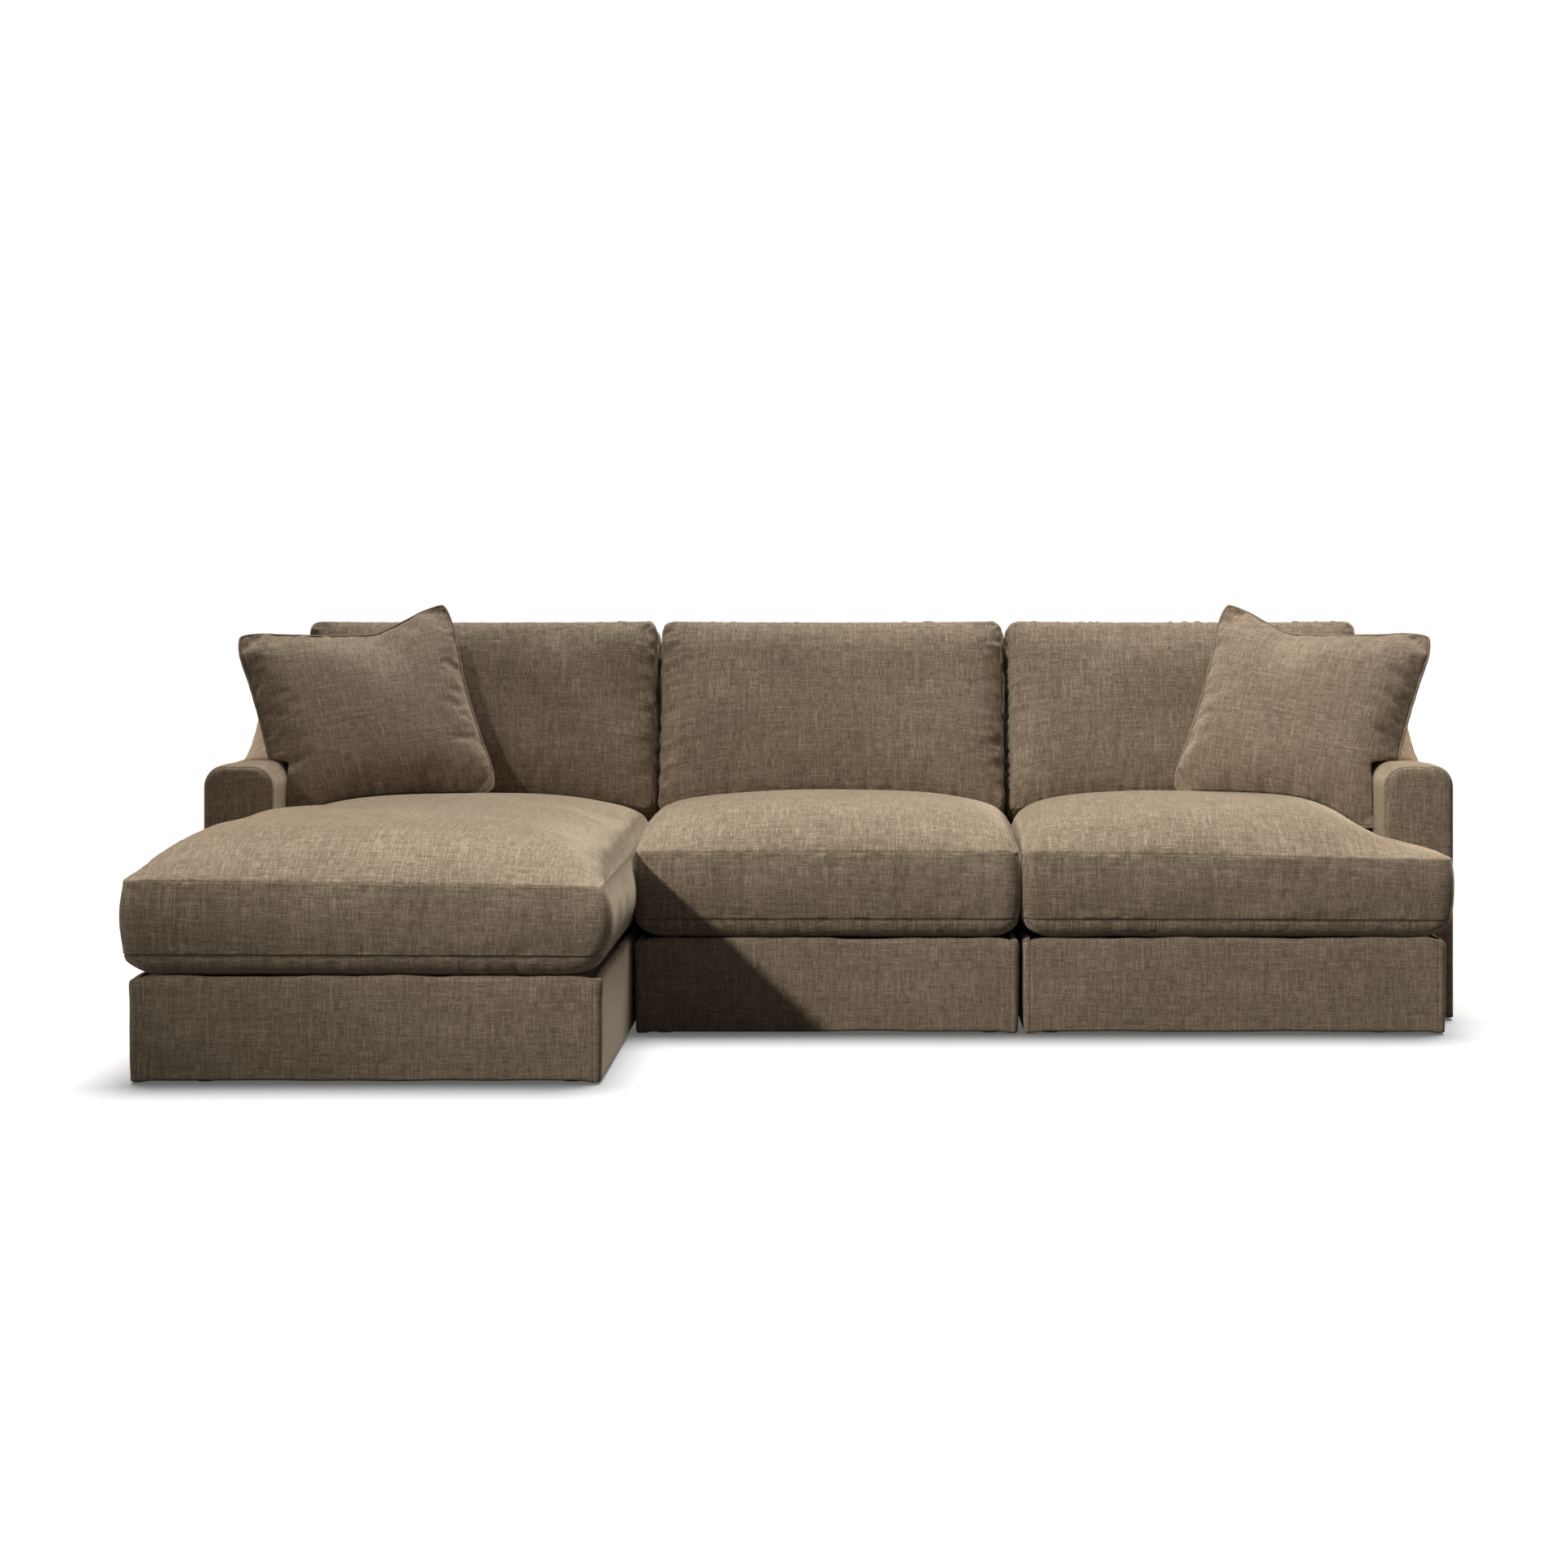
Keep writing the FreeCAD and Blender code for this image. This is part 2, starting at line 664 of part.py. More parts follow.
def middle_unit():
    """The armless unit in the middle, on which both side units are clipped."""
    x = (-CENTRE_HALF, CENTRE_HALF)
    inner_x = (x[0] + d.cover_thickness, x[1] - d.cover_thickness)
    rail_front = SEAT_FRONT + d.cover_thickness
    rail_z = (RAIL_BOTTOM, RAIL_TOP)
    keep("middle_front_cover", upholstered_board(
        "middle_front_cover", x, (SEAT_FRONT, rail_front), (d.floor_gap, DECK_TOP), ("x0", "x1", "y0", "z1"),
    ))
    group("middle_side_covers", [
        winged_side_cover("middle_left_side_cover", (x[0], inner_x[0])),
        winged_side_cover("middle_right_side_cover", (inner_x[1], x[1])),
    ])
    keep("middle_front_rail", board(
        "middle_front_rail", inner_x, (rail_front, rail_front + d.rail_thickness), rail_z,
    ))
    seat_frame("middle", inner_x, rail_front)
    keep("middle_deck_pad", board(
        "middle_deck_pad", inner_x, (rail_front, pad_plane(DECK_TOP)), (DECK_BOTTOM, DECK_TOP),
    ))
    keep("middle_dust_cover", board(
        "middle_dust_cover", inner_x, (rail_front, FRAME_REAR), (d.foot_height, RAIL_BOTTOM),
    ))
    foot_x = (inner_x[0] + d.foot_inset, inner_x[1] - d.foot_inset)
    foot_y = (rail_front + d.foot_inset, FRAME_REAR - d.foot_inset)
    feet("middle_feet", [(a, b) for a in foot_x for b in foot_y])
    back_assembly("middle", inner_x, x)
    cushion_x = (x[0] + d.cushion_side_gap, x[1] - d.cushion_side_gap)
    seat = seat_cushion("middle_seat_cushion", cushion_x, SEAT_FRONT)
    back_cushion("middle_back_cushion", cushion_x, [(seat, Vector(0, 0, 1))])


def seat_frame(unit, x, front, long_rail_x=None):
    """Side rails, the spring rail under the inside back, the rear rail and the seat springs."""
    rail_z = (RAIL_BOTTOM, RAIL_TOP)
    side_y = (front + d.rail_thickness, FRAME_REAR - d.rail_thickness)
    between_x = (x[0] + d.rail_thickness, x[1] - d.rail_thickness)
    side_rails = [
        board(f"{unit}_left_rail", (x[0], between_x[0]), side_y, rail_z),
        board(f"{unit}_right_rail", (between_x[1], x[1]), side_y, rail_z),
    ]
    if long_rail_x is not None:
        side_rails += long_rail_x
    group(f"{unit}_side_rails", side_rails)
    spring_rail_y = (SPRING_RAIL_REAR - d.rail_thickness, SPRING_RAIL_REAR)
    group(f"{unit}_rear_rails", [
        board(f"{unit}_spring_rail", between_x, spring_rail_y, rail_z),
        board(f"{unit}_rear_rail", x, (FRAME_REAR - d.rail_thickness, FRAME_REAR), rail_z),
    ])
    if unit == "chaise":
        half_rail = d.rail_thickness / 2
        springs_side_to_side(
            unit, (x[0] + half_rail, x[1] - half_rail), (front + d.rail_thickness, spring_rail_y[0]),
        )
    else:
        springs_front_to_back(
            unit, between_x, front + d.rail_thickness / 2, spring_rail_y[0] + d.rail_thickness / 2,
        )


def front_lip(x):
    """How far the corners of a cushion's front stand in front of the base, behind its bowed middle."""
    straight = float(x[1]) - float(x[0]) - 2 * float(d.cushion_corner)
    return float(d.cushion_overhang) - float(d.cushion_bow) * straight


def seat_cushion_rear():
    """Rear of the seat cushions at their widest, just ahead of the leaning pad."""
    return float(pad_plane(DECK_TOP) + d.seat_cushion_past_pad)


def arm(unit, side):
    """The swept arm of a side unit: an upholstered shell on a frame of two shaped panels and blocks."""
    turns = d.arm_sweep_radius + d.arm_shoulder_radius
    lift = arc_tangent(d.arm_ramp_length / turns)
    slope = arc_cosine((turns - (d.back_height - d.arm_height)) * cosine(lift) / turns) - lift
    level_end = ARM_FRONT + d.arm_level
    sweep_y = level_end + d.arm_sweep_radius * sine(slope)
    sweep_z = d.arm_height + d.arm_sweep_radius * (1 - cosine(slope))
    shoulder_rise = d.arm_shoulder_radius * (1 - cosine(slope))
    ramp_z = d.back_height - shoulder_rise
    ramp_y = sweep_y + d.arm_ramp_length * cosine(slope)
    shoulder_y = ramp_y + d.arm_shoulder_radius * sine(slope)
    outer = [
        (ARM_FRONT, d.floor_gap),
        (FRAME_REAR, d.floor_gap),
        (FRAME_REAR, d.back_height),
        (shoulder_y, d.back_height),
        (ramp_y, ramp_z, d.arm_shoulder_radius),
        (sweep_y, sweep_z),
        (level_end, d.arm_height, -d.arm_sweep_radius),
        (ARM_FRONT, d.arm_height),
    ]
    x = across(side, ARM_INNER, ARM_OUTER)
    body, pad = pad_body(f"{unit}_arm_cover", "YZ_Plane", outer, x)

    def on_top(edge):
        box = edge.BoundBox
        return box.XLength < 0.01 and box.ZMin > float(d.arm_height) - 0.01 and box.YLength > 0.01

    rounded = fillet(body, pad, d.arm_edge_radius, on_top)

    def on_front(edge):
        box = edge.BoundBox
        return near(box.YMin, ARM_FRONT) and near(box.YMax, ARM_FRONT) and box.ZMax > float(d.floor_gap) + 1

    front = fillet(body, rounded, d.arm_front_radius, on_front)
    inset = d.arm_padding
    frame_width = d.arm_block_width + 2 * d.arm_panel_thickness
    frame_low = (x[0] + x[1]) / 2 - frame_width / 2
    frame_x = (frame_low, frame_low + frame_width)
    frame_front = ARM_FRONT + inset
    frame_top = d.back_height - inset
    inner_radius = d.arm_sweep_radius + inset
    inner_sweep_y = level_end + inner_radius * sine(slope)
    inner_sweep_z = d.arm_height - inset + inner_radius * (1 - cosine(slope))
    ramp_top_y = inner_sweep_y + (frame_top - inner_sweep_z) / tangent(slope)

    def frame_profile(fit, bottom):
        """The frame's outline, grown by a fit on every side but the rear."""
        return [
            (frame_front - fit, bottom),
            (FRAME_REAR, bottom),
            (FRAME_REAR, frame_top + fit),
            (ramp_top_y - fit, frame_top + fit),
            (inner_sweep_y - fit, inner_sweep_z + fit),
            (level_end - fit, d.arm_height - inset + fit, -inner_radius),
            (frame_front - fit, d.arm_height - inset + fit),
        ]

    fit = d.arm_frame_fit
    hollow = profile_sketch(body, "YZ_Plane", frame_profile(fit, as_size(0)), frame_x[0] - fit)
    pocket = body.newObject("PartDesign::Pocket", f"{unit}_arm_hollow")
    pocket.Profile = hollow
    pocket.Length = float(frame_width + 2 * fit)
    pocket.setExpression("Length", (frame_width + 2 * fit).formula)
    pocket.Reversed = True
    doc.recompute()
    if pocket.Shape.Volume >= front.Shape.Volume:
        raise ValueError(f"{unit}: the arm's hollow was not cut")
    keep(f"{unit}_arm_cover", body)
    panel_x = (
        (frame_x[0], frame_x[0] + d.arm_panel_thickness),
        (frame_x[1] - d.arm_panel_thickness, frame_x[1]),
    )
    profile = frame_profile(as_size(0), d.foot_height)
    panels = [
        pad_body(f"{unit}_arm_panel_{k}", "YZ_Plane", profile, span)[0]
        for k, span in enumerate(panel_x, start=1)
    ]
    block_x = (panel_x[0][1], panel_x[1][0])
    front_post = board(
        f"{unit}_arm_front_post", block_x, (frame_front, frame_front + d.arm_block_depth),
        (d.foot_height, d.arm_height - inset),
    )
    rear_post = board(
        f"{unit}_arm_rear_post", block_x, (FRAME_REAR - d.arm_block_depth, FRAME_REAR),
        (d.foot_height, frame_top),
    )
    group(f"{unit}_arm_frame", [*panels, front_post, rear_post])
    return body, frame_x


def side_unit(unit, side, front):
    """A side unit with one arm; side -1 is the chaise on the left, side 1 the seat on the right."""
    rail_front = front + d.cover_thickness
    rail_z = (RAIL_BOTTOM, RAIL_TOP)
    inner = SIDE_INNER + d.cover_thickness
    wing_outer = BASE_OUTER - d.cover_thickness
    wing_rear = ARM_FRONT
    front_x = across(side, SIDE_INNER, BASE_OUTER)
    keep(f"{unit}_front_cover", upholstered_board(
        f"{unit}_front_cover", front_x, (front, rail_front), (d.floor_gap, DECK_TOP), ("x0", "x1", "y0", "z1"),
    ))
    inner_cover_x = across(side, SIDE_INNER, inner)
    outer_cover_x = across(side, wing_outer, BASE_OUTER)
    covers = [winged_side_cover(f"{unit}_inner_side_cover", inner_cover_x)]
    outer_face = "x1" if side > 0 else "x0"
    outer_cover = upholstered_board(
        f"{unit}_outer_side_cover", outer_cover_x, (rail_front, wing_rear), (d.floor_gap, DECK_TOP),
        (outer_face, "z1"),
    )
    if unit == "chaise":
        inner_face = "x0" if side > 0 else "x1"
        covers.append(upholstered_board(
            f"{unit}_long_side_cover", inner_cover_x, (rail_front, SEAT_FRONT + d.cover_thickness),
            (d.floor_gap, DECK_TOP), (inner_face, "z1"),
        ))
    group(f"{unit}_side_covers", [*covers, outer_cover])
    keep(f"{unit}_front_rail", board(
        f"{unit}_front_rail", across(side, inner, wing_outer), (rail_front, rail_front + d.rail_thickness), rail_z,
    ))
    wing_y = (rail_front + d.rail_thickness, wing_rear)
    wing_rails = [
        board(
            f"{unit}_wing_rail", across(side, wing_outer - d.rail_thickness, wing_outer), wing_y, rail_z,
        ),
        board(
            f"{unit}_wing_rear_rail", across(side, ARM_INNER, wing_outer - d.rail_thickness),
            (wing_rear - d.rail_thickness, wing_rear), rail_z,
        ),
    ]
    seat_frame(unit, across(side, inner, ARM_INNER), rail_front, wing_rails)
    plan = [
        (inner, rail_front), (wing_outer, rail_front), (wing_outer, wing_rear),
        (ARM_INNER, wing_rear), (ARM_INNER, pad_plane(DECK_TOP)), (inner, pad_plane(DECK_TOP)),
    ]
    dust_plan = [*plan[:4], (ARM_INNER, FRAME_REAR), (inner, FRAME_REAR)]
    if side < 0:
        plan = [(-x, y) for x, y in reversed(plan)]
        dust_plan = [(-x, y) for x, y in reversed(dust_plan)]
    keep(f"{unit}_deck_pad", pad_body(f"{unit}_deck_pad", "XY_Plane", plan, (DECK_BOTTOM, DECK_TOP))[0])
    keep(f"{unit}_dust_cover", pad_body(
        f"{unit}_dust_cover", "XY_Plane", dust_plan, (d.foot_height, RAIL_BOTTOM),
    )[0])
    arm_cover, arm_frame_x = arm(unit, side)
    arm_middle = (arm_frame_x[0] + arm_frame_x[1]) / 2
    inner_foot = side * (inner + d.foot_inset)
    outer_foot = side * (ARM_INNER - d.foot_inset)
    front_foot_y = rail_front + d.foot_inset
    rear_foot_y = FRAME_REAR - d.foot_inset
    spots = [
        (inner_foot, front_foot_y), (outer_foot, front_foot_y),
        (inner_foot, rear_foot_y), (arm_middle, rear_foot_y),
    ]
    if unit == "chaise":
        spots += [(inner_foot, SEAT_FRONT), (outer_foot, SEAT_FRONT)]
    feet(f"{unit}_feet", spots)
    back_assembly(unit, across(side, inner, ARM_INNER), across(side, SIDE_INNER, ARM_OUTER))
    gap = d.cushion_side_gap
    seat_x = (SIDE_INNER + gap + slack_for_bow(front), BASE_OUTER + d.cushion_wing_overhang)
    seat = seat_cushion(f"{unit}_seat_cushion", across(side, *seat_x), front, arm_notch(side))
    back_x = across(side, SIDE_INNER + gap, ARM_INNER - gap + d.back_cushion_width_extra)
    upwards, forwards, off_arm = Vector(0, 0, 1), Vector(0, -1, 0), Vector(-side, -1, 1)
    back = back_cushion(f"{unit}_back_cushion", back_x, [(seat, upwards), (arm_cover, off_arm)])
    pillow = "left_pillow" if side < 0 else "right_pillow"
    throw_pillow(pillow, side, [(seat, upwards), (back, forwards), (arm_cover, off_arm)])


def slack_for_bow(front):
    """Room that the long side of a cushion needs for its bow towards the next unit."""
    return float(d.cushion_bow) * (seat_cushion_rear() - float(front)) / 2


def link(name, boards):
    """One steel link fused from boards given as X, Y and Z pairs."""
    fused = doc.addObject("Part::MultiFuse", name)
    fused.Shapes = [board(f"{name}_{k}", *spans) for k, spans in enumerate(boards, start=1)]
    return fused


def unit_links():
    """Steel links that hold the units together: a tongue on each side unit enters a jaw on the middle one."""
    level = RAIL_BOTTOM + d.rail_height / 2
    plate_z = (level - d.link_plate_height / 2, level + d.link_plate_height / 2)
    half_tongue = d.link_tongue_thickness / 2
    plate_end = CENTRE_HALF + d.link_plate_thickness
    far_plate = SIDE_INNER - d.link_plate_thickness
    jaw_x = (plate_end, far_plate - d.link_fit)
    tongue_x = (plate_end + d.link_fit, far_plate)
    upper = (level + half_tongue + d.link_fit, level + half_tongue * 3 + d.link_fit)
    lower = (level - half_tongue * 3 - d.link_fit, level - half_tongue - d.link_fit)
    jaws = []
    tongues = {-1: [], 1: []}
    for side, tongue_list in tongues.items():
        for k, y in enumerate((ARM_FRONT, pad_plane(DECK_TOP) - d.link_plate_width), start=1):
            plate_y = (y - d.link_plate_width / 2, y + d.link_plate_width / 2)
            tongue_y = (y - d.link_tongue_width / 2, y + d.link_tongue_width / 2)
            name = f"link_{'left' if side < 0 else 'right'}_{k}"
            jaws.append(link(f"{name}_jaw", [
                (across(side, CENTRE_HALF, plate_end), plate_y, plate_z),
                (across(side, *jaw_x), tongue_y, upper),
                (across(side, *jaw_x), tongue_y, lower),
            ]))
            tongue_list.append(link(f"{name}_tongue", [
                (across(side, far_plate, SIDE_INNER), plate_y, plate_z),
                (across(side, *tongue_x), tongue_y, (level - half_tongue, level + half_tongue)),
            ]))
    group("middle_link_jaws", jaws)
    group("chaise_link_tongues", tongues[-1])
    group("end_link_tongues", tongues[1])


def build():
    """Models the whole sofa and writes every sub-part."""
    middle_unit()
    side_unit("chaise", -1, CHAISE_FRONT)
    side_unit("end", 1, SEAT_FRONT)
    unit_links()
    doc.recompute()
    for thing in doc.Objects:
        if "Invalid" in thing.State or "Error" in thing.State:
            raise ValueError(f"{thing.Label} failed: {thing.State}")
    os.makedirs("parts", exist_ok=True)
    for part in subparts:
        if part.Shape.isNull() or not part.Shape.isValid():
            raise ValueError(f"{part.Label} has no valid shape")
        part.Shape.exportStep(f"parts/{part.Label}.step")
    print(f"{len(subparts)} sub-parts written")


build()
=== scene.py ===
"""Dressed model of a modular sectional sofa with chaise.

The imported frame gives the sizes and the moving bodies. Every upholstered piece is modelled here as the cloth
covered, stuffed thing that it is, and the inner frame gets its woods, steels and cloths.
"""

import json
import logging
import math
from dataclasses import dataclass, field
from enum import Enum
from typing import Callable, Sequence

import bpy
import numpy as np
from mathutils import Matrix, Vector
from mathutils.bvhtree import BVHTree

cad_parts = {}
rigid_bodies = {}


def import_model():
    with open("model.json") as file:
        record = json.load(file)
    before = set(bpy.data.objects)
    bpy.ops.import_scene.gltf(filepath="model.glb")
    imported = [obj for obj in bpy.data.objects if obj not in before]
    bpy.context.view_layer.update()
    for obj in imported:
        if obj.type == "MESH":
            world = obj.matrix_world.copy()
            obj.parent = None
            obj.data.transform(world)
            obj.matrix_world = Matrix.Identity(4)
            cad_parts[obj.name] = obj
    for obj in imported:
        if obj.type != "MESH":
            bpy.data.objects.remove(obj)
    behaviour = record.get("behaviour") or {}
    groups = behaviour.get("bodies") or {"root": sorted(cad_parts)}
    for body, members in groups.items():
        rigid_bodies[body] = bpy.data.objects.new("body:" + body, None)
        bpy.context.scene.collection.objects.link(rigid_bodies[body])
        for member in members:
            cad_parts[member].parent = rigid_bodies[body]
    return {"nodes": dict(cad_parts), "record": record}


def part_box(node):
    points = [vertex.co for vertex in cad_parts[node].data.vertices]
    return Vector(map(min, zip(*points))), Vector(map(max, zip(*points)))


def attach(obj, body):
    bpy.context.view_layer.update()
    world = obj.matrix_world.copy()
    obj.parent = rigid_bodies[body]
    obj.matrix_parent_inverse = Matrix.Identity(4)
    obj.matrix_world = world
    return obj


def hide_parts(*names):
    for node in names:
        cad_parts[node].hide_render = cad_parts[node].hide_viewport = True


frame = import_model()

LOG = logging.getLogger("sofa")
Colour = tuple[float, float, float]
Array = np.ndarray
Piece = bpy.types.Object
Socket = bpy.types.NodeSocket

# The frame's main planes, in metres.
REAR_COVER = 0.838
ARM_FRONT = 0.042
ARM_INNER = 1.264
ARM_OUTER = 1.422
BASE_OUTER = 1.358
HEM = 0.007
DECK_TOP = 0.210
SEAT_FLOOR = 0.2110
SEAT_SEAM = 0.401
SEAT_LOW_SEAM = 0.256
SEAT_REAR = 0.578
BACK_TOP = 0.820
LEAN = math.radians(17.0)
PAD_AT_TOP = 0.757

# Over-relaxation that makes the crown's shape settle quickly.
OVERSHOOT = 1.95
# Spacing of the cloth's crossing threads.
THREAD = 0.0016


class Unit(Enum):
    """The three units of the sofa."""

    CHAISE = "chaise"
    MIDDLE = "middle"
    END = "end"


def pad_plane(level: float) -> float:
    """How far back the inside back's face is at one level."""
    return PAD_AT_TOP - (BACK_TOP - level) * math.tan(LEAN)


def smooth(share: Array) -> Array:
    """Smooth step from 0 to 1."""
    t = np.clip(share, 0.0, 1.0)
    return t * t * (3.0 - 2.0 * t)


def ripple(points: Array, length: float, seed: int, waves: int = 9) -> Array:
    """Gentle irregular waves over a surface, about -1 to 1.

    Args:
        points: places, one row each.
        length: typical wave length in metres.
        seed: number that picks the waves.
        waves: how many waves are added up.

    Returns:
        One value for each place.
    """
    chance = np.random.default_rng(seed)
    total = np.zeros(len(points))
    for _ in range(waves):
        way = chance.normal(size=points.shape[1])
        way *= 2.0 * math.pi / (length * chance.uniform(0.7, 1.7)) / np.linalg.norm(way)
        total += np.sin(points @ way + chance.uniform(0.0, 2.0 * math.pi))
    return total / math.sqrt(waves / 2.0) / 1.6


# Mesh helpers


def deselect_all() -> None:
    """Leaves nothing selected."""
    if bpy.context.object and bpy.context.object.mode != "OBJECT":
        bpy.ops.object.mode_set(mode="OBJECT")
    bpy.ops.object.select_all(action="DESELECT")


def pick(obj: Piece) -> None:
    """Selects one object and makes it active."""
    deselect_all()
    obj.select_set(True)
    bpy.context.view_layer.objects.active = obj


def apply_modifier(obj: Piece, kind: str, **settings: object) -> None:
    """Adds a modifier and applies it.

    Args:
        obj: the piece.
        kind: the modifier's type.
        settings: its settings.
    """
    pick(obj)
    modifier = obj.modifiers.new(kind.lower(), kind)
    for key, value in settings.items():
        setattr(modifier, key, value)
    bpy.ops.object.modifier_apply(modifier=modifier.name)


def subdivide(obj: Piece, levels: int = 1, simple: bool = False) -> None:
    """Refines a mesh, smoothly unless simple is set."""
    apply_modifier(obj, "SUBSURF", levels=levels, render_levels=levels,
                   subdivision_type="SIMPLE" if simple else "CATMULL_CLARK")


def choose_faces(obj: Piece, wanted: Callable[[bpy.types.MeshPolygon], bool]) -> None:
    """Selects the faces that a test picks, and nothing else, for the next edit.

    Args:
        obj: the piece.
        wanted: says of a face whether it is selected.
    """
    mesh = obj.data
    chosen = [bool(wanted(face)) for face in mesh.polygons]
    mesh.vertices.foreach_set("select", np.zeros(len(mesh.vertices), bool))
    mesh.edges.foreach_set("select", np.zeros(len(mesh.edges), bool))
    mesh.polygons.foreach_set("select", chosen)
    bpy.context.tool_settings.mesh_select_mode = (False, False, True)


def tidy_shell(obj: Piece) -> Piece:
    """Merges an object's doubles, turns its faces outwards and returns it."""
    pick(obj)
    bpy.ops.object.mode_set(mode="EDIT")
    bpy.ops.mesh.select_all(action="SELECT")
    bpy.ops.mesh.remove_doubles(threshold=1e-5)
    bpy.ops.mesh.normals_make_consistent(inside=False)
    bpy.ops.object.mode_set(mode="OBJECT")
    return obj


def join(first: Piece, *others: Piece) -> Piece:
    """Joins other objects to the first and returns it."""
    pick(first)
    for obj in others:
        obj.select_set(True)
    bpy.ops.object.join()
    return first


def copies(model: Piece, name: str, moves: Sequence[Matrix]) -> Piece:
    """One piece made of copies of a model, each with its own mesh.

    Args:
        model: the shape that repeats; it is used up.
        name: the new piece's name.
        moves: where each copy goes.

    Returns:
        The new piece.
    """
    made = []
    for move in moves:
        made.append(model.copy())
        made[-1].data = model.data.copy()
        made[-1].data.transform(move)
        bpy.context.scene.collection.objects.link(made[-1])
    bpy.data.objects.remove(model)
    obj = join(*made)
    obj.name = obj.data.name = name
    return obj


def corners_of(obj: Piece) -> Array:
    """All vertices of a mesh as rows."""
    flat = np.empty(len(obj.data.vertices) * 3)
    obj.data.vertices.foreach_get("co", flat)
    return flat.reshape(-1, 3)


def normals_of(obj: Piece) -> Array:
    """All vertex normals of a mesh as rows."""
    flat = np.empty(len(obj.data.vertices) * 3)
    obj.data.vertices.foreach_get("normal", flat)
    return flat.reshape(-1, 3)


def move_corners(obj: Piece, points: Array) -> None:
    """Puts all vertices of a mesh at new places."""
    obj.data.vertices.foreach_set("co", np.ascontiguousarray(points, float).ravel())
    obj.data.update()


def marks_of(obj: Piece, name: str) -> Array:
    """A mesh's values of one vertex attribute."""
    values = np.empty(len(obj.data.vertices), np.float32)
    obj.data.attributes[name].data.foreach_get("value", values)
    return values.astype(float)


def set_marks(obj: Piece, name: str, values: Array) -> None:
    """Writes one value for each vertex into an attribute."""
    layer = obj.data.attributes.get(name) or obj.data.attributes.new(name, "FLOAT", "POINT")
    layer.data.foreach_set("value", values.astype(np.float32))


@dataclass
class Quilt:
    """Patches of quads that are gathered into one mesh with metre-true cloth coordinates."""

    points: list[Array] = field(default_factory=list)
    faces: list[Array] = field(default_factory=list)
    coords: list[Array] = field(default_factory=list)
    count: int = 0

    def add_points(self, points: Array) -> Array:
        """Adds vertices and gives their numbers, in the shape that the points came in."""
        flat = points.reshape(-1, 3)
        numbers = np.arange(self.count, self.count + len(flat)).reshape(points.shape[:-1])
        self.points.append(flat)
        self.count += len(flat)
        return numbers

    def add_patch(self, numbers: Array, cloth: Array, cells: Array | None = None,
                  flip: bool = False) -> None:
        """Adds the quads between rows and columns of vertices.

        Args:
            numbers: vertex numbers, rows by columns.
            cloth: cloth coordinates in metres, rows by columns by 2.
            cells: which quads exist; all of them if not given.
            flip: whether the quads face the other way.
        """
        def ring(a: Array) -> Array:
            """The four corners of each quad, in order."""
            parts = [a[:-1, :-1], a[1:, :-1], a[1:, 1:], a[:-1, 1:]]
            return np.stack(parts[::-1] if flip else parts, axis=2)

        faces, coords = ring(numbers), ring(cloth)
        keep = np.ones(faces.shape[:2], bool) if cells is None else cells
        self.faces.append(faces[keep])
        self.coords.append(coords[keep])

    def build(self, name: str, weld: float = 0.0) -> Piece:
        """Makes the mesh object.

        Args:
            name: the new object's name.
            weld: distance under which vertices are merged; 0 merges none.

        Returns:
            The new object.
        """
        points, faces = np.concatenate(self.points), np.concatenate(self.faces)
        coords = np.concatenate(self.coords)
        if weld:
            _, first, back = np.unique(np.round(points / weld).astype(np.int64), axis=0,
                                       return_index=True, return_inverse=True)
            points, faces = points[first], back.ravel()[faces]
        used, back = np.unique(faces, return_inverse=True)
        points, faces = points[used], back.reshape(faces.shape)
        self.kept = first[used] if weld else used
        polygons, cloth = [], []
        for face, coord in zip(faces.tolist(), coords):
            firm = [k for k in range(4) if face[k] != face[k - 1]]
            if len(firm) >= 3 and len({face[k] for k in firm}) == len(firm):
                polygons.append([face[k] for k in firm])
                cloth.append(coord[firm])
        mesh = bpy.data.meshes.new(name)
        mesh.from_pydata(points.tolist(), [], polygons)
        layer = mesh.uv_layers.new(name="weave")
        layer.data.foreach_set("uv", np.concatenate(cloth).ravel().astype(np.float32))
        mesh.shade_smooth()
        mesh.update()
        obj = bpy.data.objects.new(name, mesh)
        bpy.context.scene.collection.objects.link(obj)
        return obj


def graded(low: float, high: float, step: float,
           edge: Sequence[float] = (0.003, 0.0085, 0.017, 0.029)) -> Array:
    """Places from low to high that crowd near both ends.

    Args:
        low: the first place.
        high: the last place.
        step: distance between places in the middle.
        edge: distances from each end at which there is a place.

    Returns:
        The places in order.
    """
    near = [e for e in edge if e < (high - low) / 2.2]
    start, stop = low + (near[-1] if near else 0.0), high - (near[-1] if near else 0.0)
    middle = np.linspace(start, stop, max(2, round((stop - start) / step)) + 1)
    return np.concatenate([[low], [low + e for e in near[:-1]], middle,
                           [high - e for e in near[:-1][::-1]], [high]])


def run_lengths(points: Array, axis: int) -> Array:
    """Length along a grid of points in one direction, from its first row."""
    steps = np.linalg.norm(np.diff(points, axis=axis), axis=-1)
    pad = [(0, 0)] * steps.ndim
    pad[axis] = (1, 0)
    return np.cumsum(np.pad(steps, pad), axis=axis)


